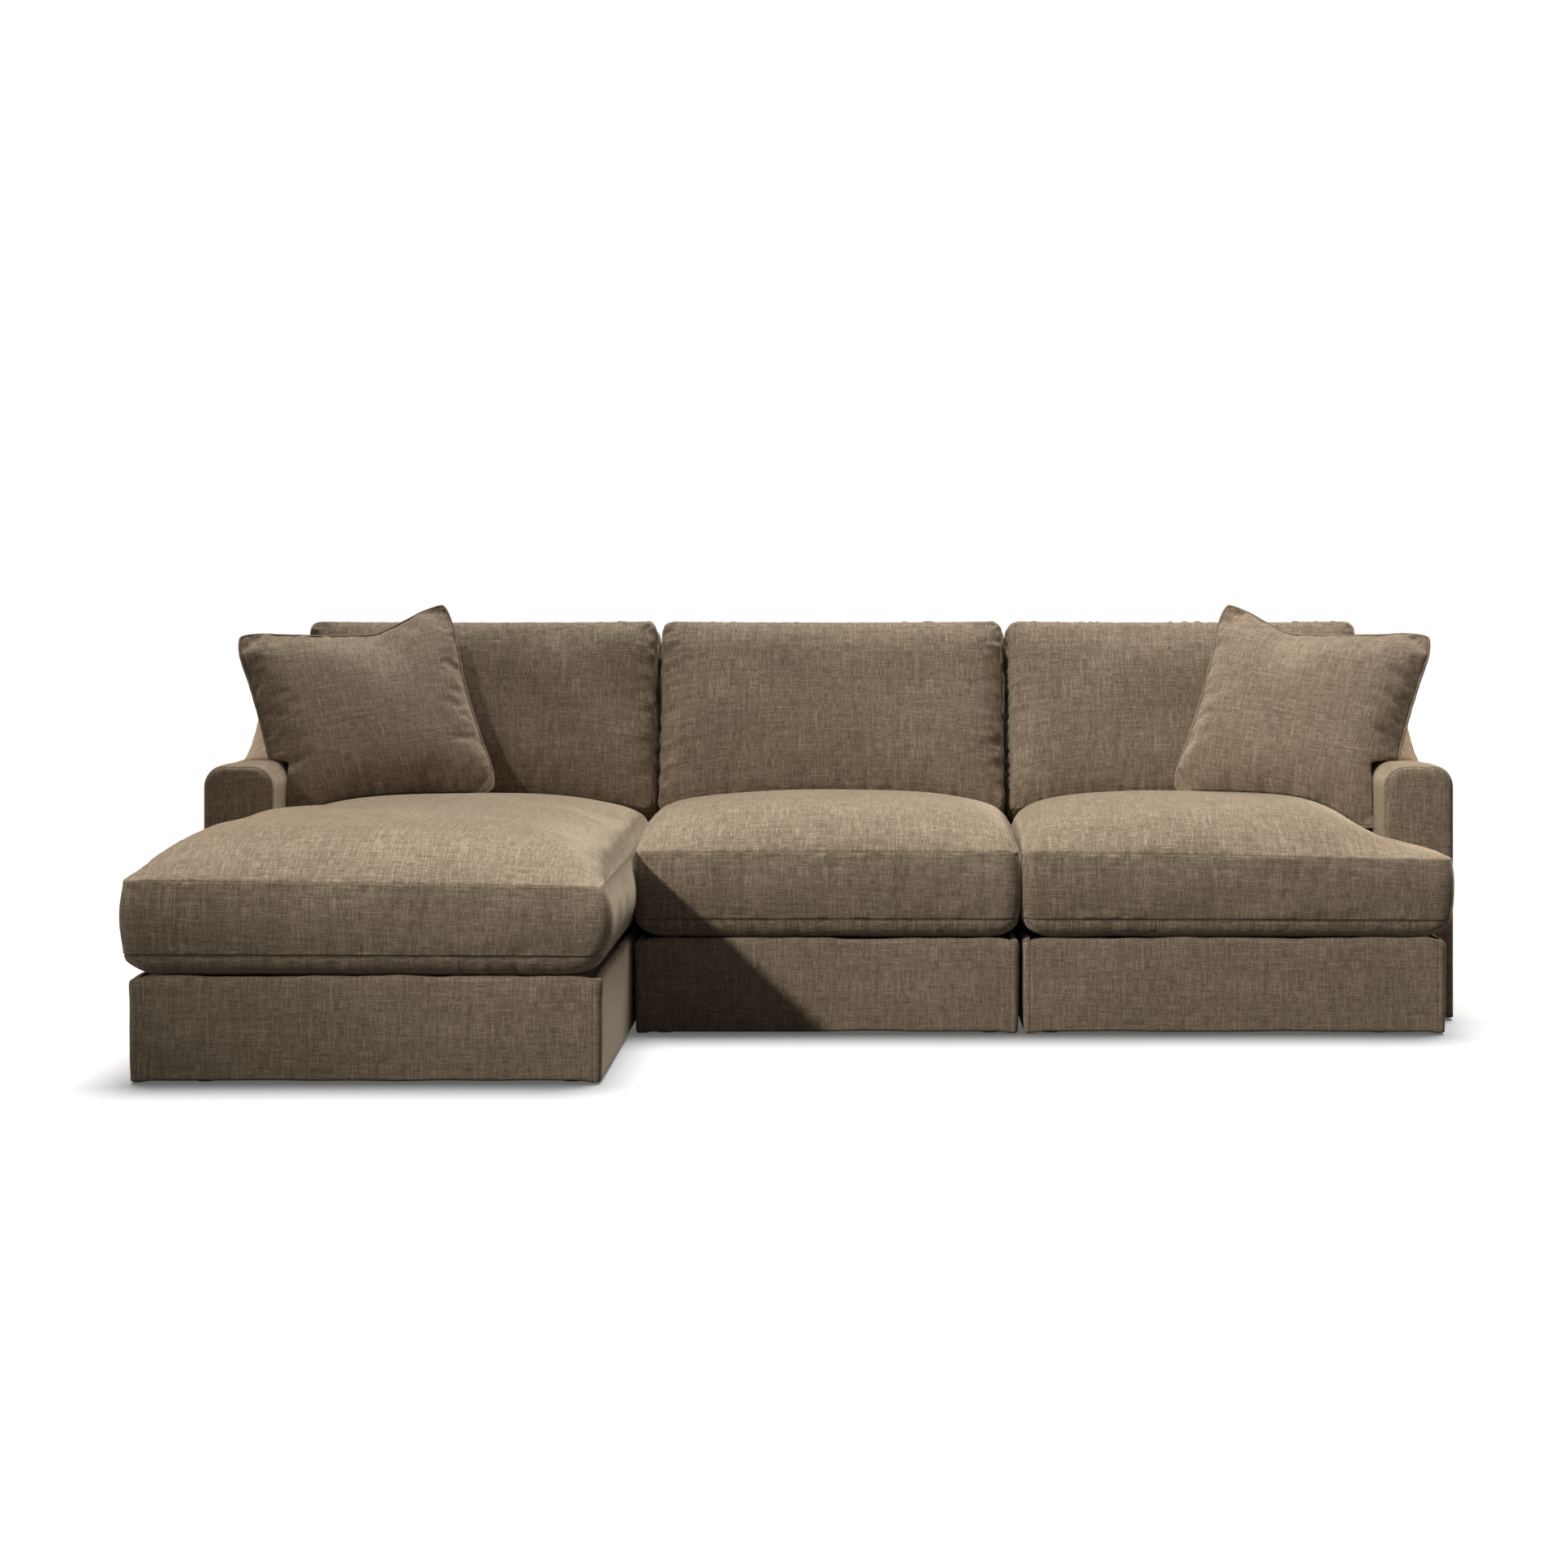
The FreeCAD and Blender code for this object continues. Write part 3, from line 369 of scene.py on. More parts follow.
def inflate(inside: Array, rounds: int = 420) -> Array:
    """Height of an evenly loaded skin that is held along its outline, from 0 to 1.

    Args:
        inside: which grid points are free to rise.
        rounds: how many times the grid is relaxed.

    Returns:
        The heights on the grid.
    """
    height = np.zeros(inside.shape)
    parity = np.indices(inside.shape).sum(0) % 2 == 0
    halves = [inside & parity, inside & ~parity]
    for _ in range(rounds):
        for half in halves:
            around = np.zeros_like(height)
            around[1:-1, 1:-1] = (height[2:, 1:-1] + height[:-2, 1:-1] + height[1:-1, 2:] + height[1:-1, :-2]
                                  + 1.0) / 4
            height[half] += OVERSHOOT * (around[half] - height[half])
    return height / height.max()


# Finishes


class Palette:
    """Short calls that lay out the nodes of one material."""

    def __init__(self, name: str) -> None:
        """Starts a material with its shader and output."""
        self.material = bpy.data.materials.new(name)
        self.material.use_nodes = True
        self.tree = self.material.node_tree
        self.tree.nodes.clear()
        self.shader = self.tree.nodes.new("ShaderNodeBsdfPrincipled")
        output = self.tree.nodes.new("ShaderNodeOutputMaterial")
        self.tree.links.new(self.shader.outputs[0], output.inputs[0])

    def node(self, kind: str, inputs: dict[str | int, object] | None = None, **settings: object
             ) -> bpy.types.Node:
        """Adds a node.

        Args:
            kind: node type.
            inputs: values or sockets for its inputs.
            settings: its other settings.

        Returns:
            The new node.
        """
        made = self.tree.nodes.new(kind)
        for key, value in settings.items():
            setattr(made, key, value)
        for key, value in (inputs or {}).items():
            if isinstance(value, Socket):
                self.tree.links.new(value, made.inputs[key])
            else:
                made.inputs[key].default_value = value
        return made

    def math(self, operation: str, *values: object) -> Socket:
        """Result of a math node."""
        return self.node("ShaderNodeMath", dict(enumerate(values)), operation=operation).outputs[0]

    def scaled(self, coords: Socket, scale: Sequence[float],
               shift: Sequence[float] = (0.0, 0.0, 0.0)) -> Socket:
        """Coordinates times a scale plus a shift."""
        return self.node("ShaderNodeVectorMath", {0: coords, 1: tuple(scale), 2: tuple(shift)},
                         operation="MULTIPLY_ADD").outputs[0]

    def noise(self, coords: Socket, scale: Sequence[float], detail: float = 2.0,
              rough: float = 0.5, shift: Sequence[float] = (0.0, 0.0, 0.0)) -> Socket:
        """Noise that is stretched by a scale for each direction."""
        where = self.scaled(coords, scale, shift)
        return self.node("ShaderNodeTexNoise", {"Vector": where, "Scale": 1.0, "Detail": detail,
                                                "Roughness": rough}).outputs[0]

    def band(self, value: Socket, low: float, high: float, to_low: float = 0.0,
             to_high: float = 1.0) -> Socket:
        """Value from one range mapped to another, clamped."""
        return self.node("ShaderNodeMapRange", {0: value, 1: low, 2: high, 3: to_low, 4: to_high}).outputs[0]

    def mix(self, share: object, first: object, second: object, blend: str = "MIX") -> Socket:
        """Mix of two colours.

        Args:
            share: how much of the second colour there is.
            first: the first colour.
            second: the second colour.
            blend: how they are mixed.

        Returns:
            The mixed colour.
        """
        made = self.tree.nodes.new("ShaderNodeMix")
        made.data_type, made.blend_type = "RGBA", blend
        for key, value in ((0, share), (6, first), (7, second)):
            if isinstance(value, Socket):
                self.tree.links.new(value, made.inputs[key])
            else:
                made.inputs[key].default_value = (*value, 1.0) if isinstance(value, tuple) else value
        return made.outputs[2]

    def objects(self) -> Socket:
        """Object coordinates."""
        return self.node("ShaderNodeTexCoord").outputs["Object"]

    def cloth(self) -> Socket:
        """The piece's own cloth coordinates in metres."""
        return self.node("ShaderNodeUVMap", uv_map="weave").outputs[0]

    def finish(self, colour: Socket, height: Socket, lift: float, strength: float,
               rough: Socket | None = None, **sockets: object) -> bpy.types.Material:
        """Wires colour, bump and roughness to the shader and sets its other sockets.

        Args:
            colour: colour socket.
            height: bump height socket.
            lift: bump distance in metres.
            strength: bump strength.
            rough: roughness socket.
            sockets: plain values for the shader's own sockets, with _ for spaces.

        Returns:
            The finished material.
        """
        self.tree.links.new(colour, self.shader.inputs["Base Color"])
        bump = self.node("ShaderNodeBump", {"Height": height, "Strength": strength, "Distance": lift})
        self.tree.links.new(bump.outputs[0], self.shader.inputs["Normal"])
        if rough is not None:
            self.tree.links.new(rough, self.shader.inputs["Roughness"])
        for key, value in sockets.items():
            self.shader.inputs[key.replace("_", " ")].default_value = value
        return self.material


@dataclass(frozen=True)
class Finish:
    """A named finish in one main colour."""

    name: str
    colour: Colour

    def shade(self, *shares: float) -> Colour:
        """The main colour with all channels scaled alike, or each by its own share."""
        return tuple(min(0.9, c * s) for c, s in zip(self.colour, shares * 3 if len(shares) == 1 else shares))


@dataclass(frozen=True)
class SlubWeave(Finish):
    """Linen-like cloth of fine cross threads with thicker pale slubs and soft tonal patches; its seams get
    painted shade.
    """

    contrast: float = 1.0

    def material(self) -> bpy.types.Material:
        """The cloth's material; it follows the piece's own cloth coordinates."""
        p = Palette(self.name)
        cloth, around = p.cloth(), p.objects()
        slub_up = p.band(p.noise(cloth, (310, 13, 1), 1.0, 0.5), 0.53, 0.70)
        slub_over = p.band(p.noise(cloth, (13, 310, 1), 1.0, 0.5, (7, 3, 5)), 0.54, 0.72)
        bar_up = p.noise(cloth, (120, 7, 1), 1.5, 0.5, (4, 4, 1))
        bar_over = p.noise(cloth, (7, 120, 1), 1.5, 0.5, (9, 5, 2))
        knots = p.band(p.noise(cloth, (420, 150, 1), 1.0, 0.5, (3, 9, 2)), 0.60, 0.74)
        yarn_up = p.noise(cloth, (640, 40, 1), 1.0, 0.5, (2, 6, 4))
        yarn_over = p.noise(cloth, (40, 640, 1), 1.0, 0.5, (8, 1, 3))
        thread_up = p.noise(cloth, (1300, 160, 1), 1.0, 0.5, (1, 4, 9))
        thread_over = p.noise(cloth, (160, 1300, 1), 1.0, 0.5, (5, 2, 8))
        patch = p.noise(around, (5.0, 5.0, 5.0), 2.5, 0.5)
        cross = p.math("ADD", p.math("MULTIPLY", thread_up, 0.5), p.math("MULTIPLY", thread_over, 0.5))
        yarns = p.math("ADD", yarn_up, yarn_over)
        bars = p.math("ADD", bar_up, bar_over)
        tone = p.math("MULTIPLY_ADD", p.math("SUBTRACT", cross, 0.5), 1.8 * self.contrast, 0.26)
        tone = p.math("MULTIPLY_ADD", p.math("SUBTRACT", yarns, 1.0), 1.5 * self.contrast, tone)
        tone = p.math("MULTIPLY_ADD", p.math("SUBTRACT", bars, 1.0), 0.55 * self.contrast, tone)
        tone = p.math("MULTIPLY_ADD", slub_up, 0.34 * self.contrast, tone)
        tone = p.math("MULTIPLY_ADD", slub_over, 0.27 * self.contrast, tone)
        tone = p.math("MULTIPLY_ADD", knots, 0.22 * self.contrast, tone)
        tone = p.math("MULTIPLY_ADD", p.math("SUBTRACT", patch, 0.5), 0.42, tone)
        colour = p.mix(p.band(tone, 0.0, 1.0), self.shade(0.60, 0.58, 0.55), self.shade(1.62, 1.66, 1.74))
        # Painted shade: along the seam marks the cloth is darkened towards 0.28 of its main colour, in place
        # of the shadow in the seam groove.
        seam = p.node("ShaderNodeAttribute", attribute_name="seam").outputs["Fac"]
        colour = p.mix(p.band(seam, 0.55, 1.0, 0.0, 0.55), colour, self.shade(0.28))
        split = p.node("ShaderNodeSeparateXYZ", {0: cloth})
        over = p.math("SINE", p.math("MULTIPLY", split.outputs[0], 2 * math.pi / THREAD))
        up = p.math("SINE", p.math("MULTIPLY", split.outputs[1], 2 * math.pi / THREAD))
        height = p.math("MULTIPLY_ADD", p.math("MULTIPLY", over, up), 0.18, p.math("MULTIPLY", cross, 1.3))
        height = p.math("MULTIPLY_ADD", p.math("ADD", slub_up, slub_over), 0.35, height)
        height = p.math("MULTIPLY_ADD", yarns, 1.2, height)
        return p.finish(colour, height, 0.0006, 0.5, Roughness=0.88, Sheen_Weight=0.55, Sheen_Roughness=0.36,
                        Sheen_Tint=(1.0, 0.86, 0.66, 1.0), Specular_IOR_Level=0.25)


@dataclass(frozen=True)
class DeckCloth(Finish):
    """Plain close-woven platform cloth under the cushions."""

    def material(self) -> bpy.types.Material:
        """The cloth's material."""
        p = Palette(self.name)
        cloth = p.cloth()
        threads = p.math("ADD", p.noise(cloth, (700, 60, 1)), p.noise(cloth, (60, 700, 1), shift=(2, 5, 1)))
        worn = p.noise(p.objects(), (9, 9, 9), 4.0)
        tone = p.math("MULTIPLY_ADD", worn, 0.6, p.math("MULTIPLY", threads, 0.5))
        colour = p.mix(p.band(tone, 0.5, 1.1), self.shade(0.8), self.shade(1.2))
        return p.finish(colour, threads, 0.0003, 0.5, Roughness=0.92, Sheen_Weight=0.15,
                        Specular_IOR_Level=0.2)


@dataclass(frozen=True)
class DustCloth(Finish):
    """Black non-woven cloth with its pressed dot pattern."""

    def material(self) -> bpy.types.Material:
        """The cloth's material."""
        p = Palette(self.name)
        around = p.objects()
        dots = p.node("ShaderNodeTexVoronoi", {"Vector": around, "Scale": 420.0, "Randomness": 0.15})
        pits = p.band(dots.outputs["Distance"], 0.15, 0.4)
        fibres = p.noise(around, (160, 160, 160), 5.0, 0.7)
        colour = p.mix(p.band(fibres, 0.35, 0.7), self.shade(0.6), self.shade(2.2))
        return p.finish(colour, p.math("ADD", pits, fibres), 0.0003, 0.5, Roughness=0.85, Sheen_Weight=0.2,
                        Specular_IOR_Level=0.3)


@dataclass(frozen=True)
class StrapWeb(Finish):
    """Ribbed webbing with a darker stripe of thread along it."""

    def material(self) -> bpy.types.Material:
        """The webbing's material."""
        p = Palette(self.name)
        around = p.objects()
        split = p.node("ShaderNodeSeparateXYZ", {0: around})
        ribs = p.math("SINE", p.math("MULTIPLY", split.outputs[0], 2 * math.pi / 0.003))
        rows = p.math("SINE", p.math("MULTIPLY", split.outputs[2], 2 * math.pi / 0.0024))
        fluff = p.noise(around, (240, 60, 240), 3.0)
        tone = p.math("MULTIPLY_ADD", p.math("MULTIPLY", ribs, rows), 0.2, fluff)
        stripe = p.band(p.math("SINE", p.math("MULTIPLY", split.outputs[2], 2 * math.pi / 0.024)), 0.80, 0.95)
        colour = p.mix(p.band(tone, 0.2, 0.8), self.shade(0.65), self.colour)
        colour = p.mix(stripe, colour, (0.08, 0.05, 0.03))
        return p.finish(colour, tone, 0.0005, 0.6, Roughness=0.9, Sheen_Weight=0.2)


@dataclass(frozen=True)
class PlanedWood(Finish):
    """Raw sawn and planed softwood with rings and pores; the grain runs along one direction."""

    along: Sequence[float] = (1.2, 14.0, 14.0)

    def material(self) -> bpy.types.Material:
        """The wood's material."""
        p = Palette(self.name)
        around = p.objects()
        sway = p.noise(around, tuple(0.5 * s for s in self.along), 3.0)
        rings = p.node("ShaderNodeTexNoise", {"Vector": p.scaled(around, tuple(4.0 * s for s in self.along)),
                                              "Scale": 1.0, "Detail": 3.0, "Distortion": 1.4}).outputs[0]
        pores = p.noise(around, tuple(30.0 * s for s in self.along), 4.0, 0.7, (3, 1, 7))
        tone = p.math("MULTIPLY_ADD", rings, 0.8, p.math("MULTIPLY", sway, 0.5))
        tone = p.math("MULTIPLY_ADD", p.math("SUBTRACT", pores, 0.5), 0.5, tone)
        colour = p.mix(p.band(tone, 0.35, 0.95), self.shade(0.62, 0.54, 0.46), self.shade(1.18))
        return p.finish(colour, p.math("ADD", pores, rings), 0.0004, 0.4,
                        rough=p.band(pores, 0.3, 0.7, 0.55, 0.8), Specular_IOR_Level=0.35)


@dataclass(frozen=True)
class PlyBoard(Finish):
    """Ply panels: veneer faces and thin dark glue lines that show on the edges."""

    def material(self) -> bpy.types.Material:
        """The ply's material."""
        p = Palette(self.name)
        around = p.objects()
        split = p.node("ShaderNodeSeparateXYZ", {0: around})
        layers = p.math("SINE", p.math("MULTIPLY", split.outputs[0], 2 * math.pi / 0.0056))
        figure = p.noise(around, (18, 3, 26), 4.0, 0.6)
        pores = p.noise(around, (160, 30, 260), 4.0, 0.7)
        tone = p.math("MULTIPLY_ADD", figure, 0.9, p.math("MULTIPLY", pores, 0.3))
        colour = p.mix(p.band(tone, 0.3, 0.9), self.shade(0.7, 0.62, 0.52), self.shade(1.12))
        colour = p.mix(p.band(layers, 0.86, 0.96, 0.0, 0.5), colour, (0.16, 0.09, 0.045))
        return p.finish(colour, pores, 0.0003, 0.35, rough=p.band(figure, 0.3, 0.7, 0.6, 0.75))


@dataclass(frozen=True)
class SteelFinish(Finish):
    """Steel with fine drawing lines or plating spangle and dulled places."""

    roughness: float
    stain: Colour

    def material(self) -> bpy.types.Material:
        """The steel's material."""
        p = Palette(self.name)
        around = p.objects()
        spangle = p.noise(around, (55, 55, 55), 5.0, 0.65)
        lines = p.noise(around, (900, 900, 40), 2.0)
        dull = p.band(p.noise(around, (18, 18, 18), 6.0, 0.7, (4, 4, 4)), 0.52, 0.72)
        colour = p.mix(p.band(spangle, 0.3, 0.7), self.shade(0.8), self.colour)
        colour = p.mix(p.math("MULTIPLY", dull, 0.6), colour, self.stain)
        rough = p.band(spangle, 0.3, 0.7, self.roughness, self.roughness + 0.12)
        rough = p.math("MULTIPLY_ADD", dull, 0.25, rough)
        return p.finish(colour, lines, 0.0001, 0.3, rough=rough, Metallic=1.0)


@dataclass(frozen=True)
class MouldedPlastic(Finish):
    """Matte moulded plastic with a fine spark-eroded grain and scuffs."""

    def material(self) -> bpy.types.Material:
        """The plastic's material."""
        p = Palette(self.name)
        around = p.objects()
        grain = p.node("ShaderNodeTexVoronoi", {"Vector": around, "Scale": 1500.0}).outputs["Distance"]
        scuffs = p.band(p.noise(around, (70, 70, 20), 5.0, 0.7), 0.56, 0.7)
        colour = p.mix(p.math("MULTIPLY", scuffs, 0.5), self.colour, (0.07, 0.068, 0.065))
        return p.finish(colour, grain, 0.0002, 0.4, rough=p.band(scuffs, 0.0, 1.0, 0.5, 0.68))


FABRIC = (0.250, 0.196, 0.142)
FINISHES: dict[str, Finish] = {
    "upholstery_fabric": SlubWeave("taupe_slub_weave", FABRIC),
    "pillow_fabric": SlubWeave("pillow_slub_weave", (0.262, 0.202, 0.148), 0.85),
    "deck_cloth": DeckCloth("deck_cloth", (0.115, 0.088, 0.062)),
    "dust_cloth": DustCloth("black_dust_cloth", (0.022, 0.022, 0.023)),
    "webbing": StrapWeb("jute_webbing", (0.42, 0.30, 0.17)),
    "frame_wood": PlanedWood("planed_softwood", (0.56, 0.37, 0.19)),
    "plywood": PlyBoard("birch_ply", (0.60, 0.42, 0.235)),
    "spring_steel": SteelFinish("oiled_spring_wire", (0.22, 0.21, 0.20), 0.34, (0.06, 0.045, 0.03)),
    "clip_steel": SteelFinish("zinc_plated_steel", (0.62, 0.63, 0.65), 0.3, (0.34, 0.34, 0.33)),
    "foot_plastic": MouldedPlastic("black_glide_plastic", (0.014, 0.014, 0.014)),
}
MATERIALS: dict[str, bpy.types.Material] = {}


def material_for(slot: str) -> bpy.types.Material:
    """The material of a slot, made on its first use."""
    if slot not in MATERIALS:
        MATERIALS[slot] = FINISHES[slot].material()
    return MATERIALS[slot]


def settle(obj: Piece, body: str, slot: str, replaces: Sequence[str] = ()) -> Piece:
    """Gives a finished piece its finish, body and place in the sofa.

    Args:
        obj: the piece.
        body: the body that it moves with.
        slot: the record's material slot.
        replaces: the plain solids that it stands for.

    Returns:
        The same piece.
    """
    obj.data.materials.clear()
    obj.data.materials.append(material_for(slot))
    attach(obj, body)
    if replaces:
        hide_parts(*replaces)
    LOG.info("%s: %d faces on %s", obj.name, len(obj.data.polygons), body)
    return obj


# Stuffing


@dataclass(frozen=True)
class Stuffing:
    """How a sewn cover is blown up: pressure, cloth slack and the most that a point may move."""

    pressure: float = 4.0
    slack: float = 0.02
    frames: int = 16
    share: float = 1.0
    cap: float = 0.024
    stiffness: float = 15.0

    def puff(self, obj: Piece, held: Array) -> None:
        """Runs the cloth on a cover and keeps a capped share of its movement.

        Args:
            obj: the cover.
            held: which vertices stay where they are, such as the seams.
        """
        scene = bpy.context.scene
        before = corners_of(obj)
        group = obj.vertex_groups.new(name="held")
        group.add(np.flatnonzero(held).tolist(), 1.0, "REPLACE")
        pick(obj)
        cloth = obj.modifiers.new("cloth", "CLOTH")
        s = cloth.settings
        s.quality, s.mass, s.time_scale = 5, 0.25, 1.0
        s.tension_stiffness = s.compression_stiffness = self.stiffness
        s.shear_stiffness, s.bending_stiffness = 5.0, 0.3
        s.use_pressure, s.uniform_pressure_force = True, self.pressure
        s.shrink_min = -self.slack
        s.vertex_group_mass = "held"
        s.effector_weights.gravity = 0.0
        cloth.collision_settings.use_collision = False
        cloth.point_cache.frame_start, cloth.point_cache.frame_end = 1, self.frames
        for at in range(1, self.frames + 1):
            scene.frame_set(at)
        bpy.ops.object.modifier_apply(modifier=cloth.name)
        scene.frame_set(1)
        obj.vertex_groups.clear()
        moved = np.nan_to_num(corners_of(obj) - before) * self.share
        far = np.linalg.norm(moved, axis=1, keepdims=True)
        moved *= np.tanh(far / self.cap) * self.cap / np.maximum(far, 1e-9)
        move_corners(obj, before + moved)


def sew_seams(obj: Piece, pucker: float, wave: float, seed: int, depth: float = 0.0017,
              reach: float = 0.045) -> None:
    """Sinks the seams of a refined cover, puckers the cloth beside them and gives it soft waves.

    Args:
        obj: the cover, with its seam, far and run marks.
        pucker: height of the puckers beside the seams.
        wave: height of the broad waves.
        seed: number that picks the waves.
        depth: how deep the seams sink.
        reach: how far the puckers reach.
    """
    points, out = corners_of(obj), normals_of(obj)
    seam, far, run = (marks_of(obj, name) for name in ("seam", "far", "run"))
    line = np.column_stack([run, far * 0.35])
    folds = ripple(line, 0.034, seed) + 0.6 * ripple(line, 0.014, seed + 1)
    patchy = 0.35 + 0.65 * smooth(0.5 + ripple(line, 0.30, seed + 2))
    near = np.exp(-far / reach) * smooth(far / 0.006)
    lift = pucker * folds * patchy * near
    lift += wave * ripple(points, 0.21, seed + 3) * smooth(far / 0.05)
    lift += -depth * (seam > 0.9) + 0.0005 * ((seam > 0.3) & (seam < 0.9))
    move_corners(obj, points + out * lift[:, None])


def clear_of(obj: Piece, other: Piece, way: Vector, gap: float = 0.001,
             within: Callable[[Array], Array] | None = None) -> None:
    """Presses a piece out of its neighbour along one direction.

    Args:
        obj: the piece that gives way.
        other: the neighbour that it rests on.
        way: the direction in which it gives way.
        gap: distance that is left between them.
        within: which points are looked at.
    """
    tree = BVHTree.FromObject(other, bpy.context.evaluated_depsgraph_get())
    points = corners_of(obj)
    look = np.ones(len(points), bool) if within is None else within(points)
    far = 3.0
    for k in np.flatnonzero(look):
        start = Vector(points[k]) + way * far
        hit = tree.ray_cast(start, -way, far + 0.4)
        if hit[0] is not None:
            over = (hit[0] - Vector(points[k])).dot(way)
            if over > -gap:
                points[k] += np.array(way) * (over + gap)
    move_corners(obj, points)


# Boxed pieces


@dataclass
class BoxedForm:
    """A boxed cover: two crowned panels on one plan with a border between their two seams.

    u runs across, v deep (or up) and w is the thickness; place turns them into the sofa's frame.
    """

    name: str
    u: tuple[float, float]
    v: tuple[float, float]
    low_seam: float
    high_seam: float
    crown: float
    under: float
    place: Callable[[Array], Array]
    notch: tuple[float, float, int] | None = None
    corner: float = 0.036
    step: float = 0.014
    pull: tuple[float, float] = (0.004, 0.004)
    under_roll: float = 0.052
    border_rows: int = 9
    bulge: Callable[[Array, Array], Array] | None = None
    fullness: Callable[[Array, Array], Array] | None = None
    swell: float = 0.008
    sample: float = 0.011
    pulls: float = 0.0

    def _lines(self) -> tuple[Array, Array]:
        """Grid lines across and deep."""
        us, vs = graded(*self.u, self.step), graded(*self.v, self.step)
        if self.notch:
            at_u, at_v, _ = self.notch
            us = np.unique(np.round(np.concatenate([graded(self.u[0], at_u, self.step),
                                                    graded(at_u, self.u[1], self.step)]), 6))
            vs = np.unique(np.round(np.concatenate([graded(self.v[0], at_v, self.step),
                                                    graded(at_v, self.v[1], self.step)]), 6))
        return us, vs

    def _in_notch(self, u: Array, v: Array) -> Array:
        """Which places are in the cut-out corner."""
        if not self.notch:
            return np.zeros(np.broadcast(u, v).shape, bool)
        at_u, at_v, side = self.notch
        return ((u - at_u) * side > 1e-6) & (v > at_v + 1e-6)

    def _far(self, u: Array, v: Array) -> Array:
        """Distance to the outline.

        Args:
            u: places across.
            v: places deep.

        Returns:
            The distances, 0 outside.
        """
        far = np.minimum(np.minimum(u - self.u[0], self.u[1] - u), np.minimum(v - self.v[0], self.v[1] - v))
        if self.notch:
            at_u, at_v, side = self.notch
            far = np.minimum(far, np.hypot(np.maximum(0, (at_u - u) * side), np.maximum(0, at_v - v)))
        return np.maximum(far, 0.0)

    def _rise(self, u: Array, v: Array) -> Array:
        """Share of the crown at each place.

        Args:
            u: places across.
            v: places deep.

        Returns:
            The shares, 0 on the outline and 1 at the highest place.
        """
        across = np.linspace(*self.u, int((self.u[1] - self.u[0]) / self.sample) + 1)
        deep = np.linspace(*self.v, int((self.v[1] - self.v[0]) / self.sample) + 1)
        grid_u, grid_v = np.meshgrid(across, deep, indexing="ij")
        inside = (self._far(grid_u, grid_v) > 1e-6) & ~self._in_notch(grid_u, grid_v)
        skin = inflate(inside)
        a = np.clip((u - across[0]) / (across[1] - across[0]), 0, len(across) - 1.000001)
        b = np.clip((v - deep[0]) / (deep[1] - deep[0]), 0, len(deep) - 1.000001)
        i, j = a.astype(int), b.astype(int)
        a, b = a - i, b - j
        rise = ((skin[i, j] * (1 - a) + skin[i + 1, j] * a) * (1 - b)
                + (skin[i, j + 1] * (1 - a) + skin[i + 1, j + 1] * a) * b)
        power = self.fullness(u, v) if self.fullness else 0.45
        rise = (1.0 - (1.0 - rise) ** 2) ** power
        return np.where(self._far(u, v) < 1e-6, 0.0, rise)

    def _plan(self, u: Array, v: Array) -> tuple[Array, Array]:
        """Rounds the plan's corners and pulls its sides in.

        Args:
            u: places across.
            v: places deep.

        Returns:
            The moved places across and deep.
        """
        x, y = u.copy(), v.copy()
        corners = [(self.u[0], self.v[0], 1, 1), (self.u[1], self.v[0], -1, 1)]
        if self.notch and self.notch[2] < 0:
            corners += [(self.u[0], self.notch[1], 1, -1), (self.notch[0], self.v[1], 1, -1),
                        (self.u[1], self.v[1], -1, -1)]
        elif self.notch:
            corners += [(self.u[1], self.notch[1], -1, -1), (self.notch[0], self.v[1], -1, -1),
                        (self.u[0], self.v[1], 1, -1)]
        else:
            corners += [(self.u[0], self.v[1], 1, -1), (self.u[1], self.v[1], -1, -1)]
        r = self.corner
        for cu, cv, du, dv in corners:
            a, b = r - (u - cu) * du, r - (v - cv) * dv
            close = (a > 0) & (b > 0) & (a < r + 1e-6) & (b < r + 1e-6)
            stretch = np.maximum(a, b) / np.maximum(np.hypot(a, b), 1e-9)
            x = np.where(close, cu + du * (r - a * stretch), x)
            y = np.where(close, cv + dv * (r - b * stretch), y)
        mid_u, mid_v = sum(self.u) / 2, sum(self.v) / 2
        a, b = (u - mid_u) / (self.u[1] - mid_u), (v - mid_v) / (self.v[1] - mid_v)
        x -= self.pull[0] * a ** 3 * (1 - b * b)
        y -= self.pull[1] * b ** 3 * (1 - a * a)
        return x, y

    def _sink(self, u: Array, v: Array) -> Array:
        """Share of the way from the lower seam to the flat underside; it is slow near the corners.

        Args:
            u: places across.
            v: places deep.

        Returns:
            The shares.
        """
        def roll(gap: Array, reach: float) -> Array:
            """A quarter turn over a reach."""
            return np.sqrt(1 - (1 - np.clip(gap / reach, 0, 1)) ** 2)

        side = np.minimum(u - self.u[0], self.u[1] - u)
        end = np.minimum(v - self.v[0], self.v[1] - v)
        if self.notch:
            at_u, at_v, hand = self.notch
            side = np.where(v > at_v, np.minimum(side, np.abs(at_u - u)), side)
            end = np.where((u - at_u) * hand > 0, np.minimum(end, np.abs(at_v - v)), end)
        return roll(side, 1.5 * self.under_roll) * roll(end, self.under_roll)

    def _pulls(self, u: Array, v: Array, far: Array) -> Array:
        """Small folds that fan out from the panel's corners.

        Args:
            u: places across.
            v: places deep.
            far: their distances to the outline.

        Returns:
            The folds' heights.
        """
        total = np.zeros(u.shape)
        for k, (cu, cv) in enumerate(((a, b) for a in self.u for b in self.v)):
            off, turn = np.hypot(u - cu, v - cv), np.arctan2(v - cv, u - cu)
            total += np.exp(-off / 0.075) * (1 - np.exp(-(off / 0.022) ** 2)) * np.cos(11.0 * turn + 1.7 * k)
        return self.pulls * total * smooth(far / 0.012)

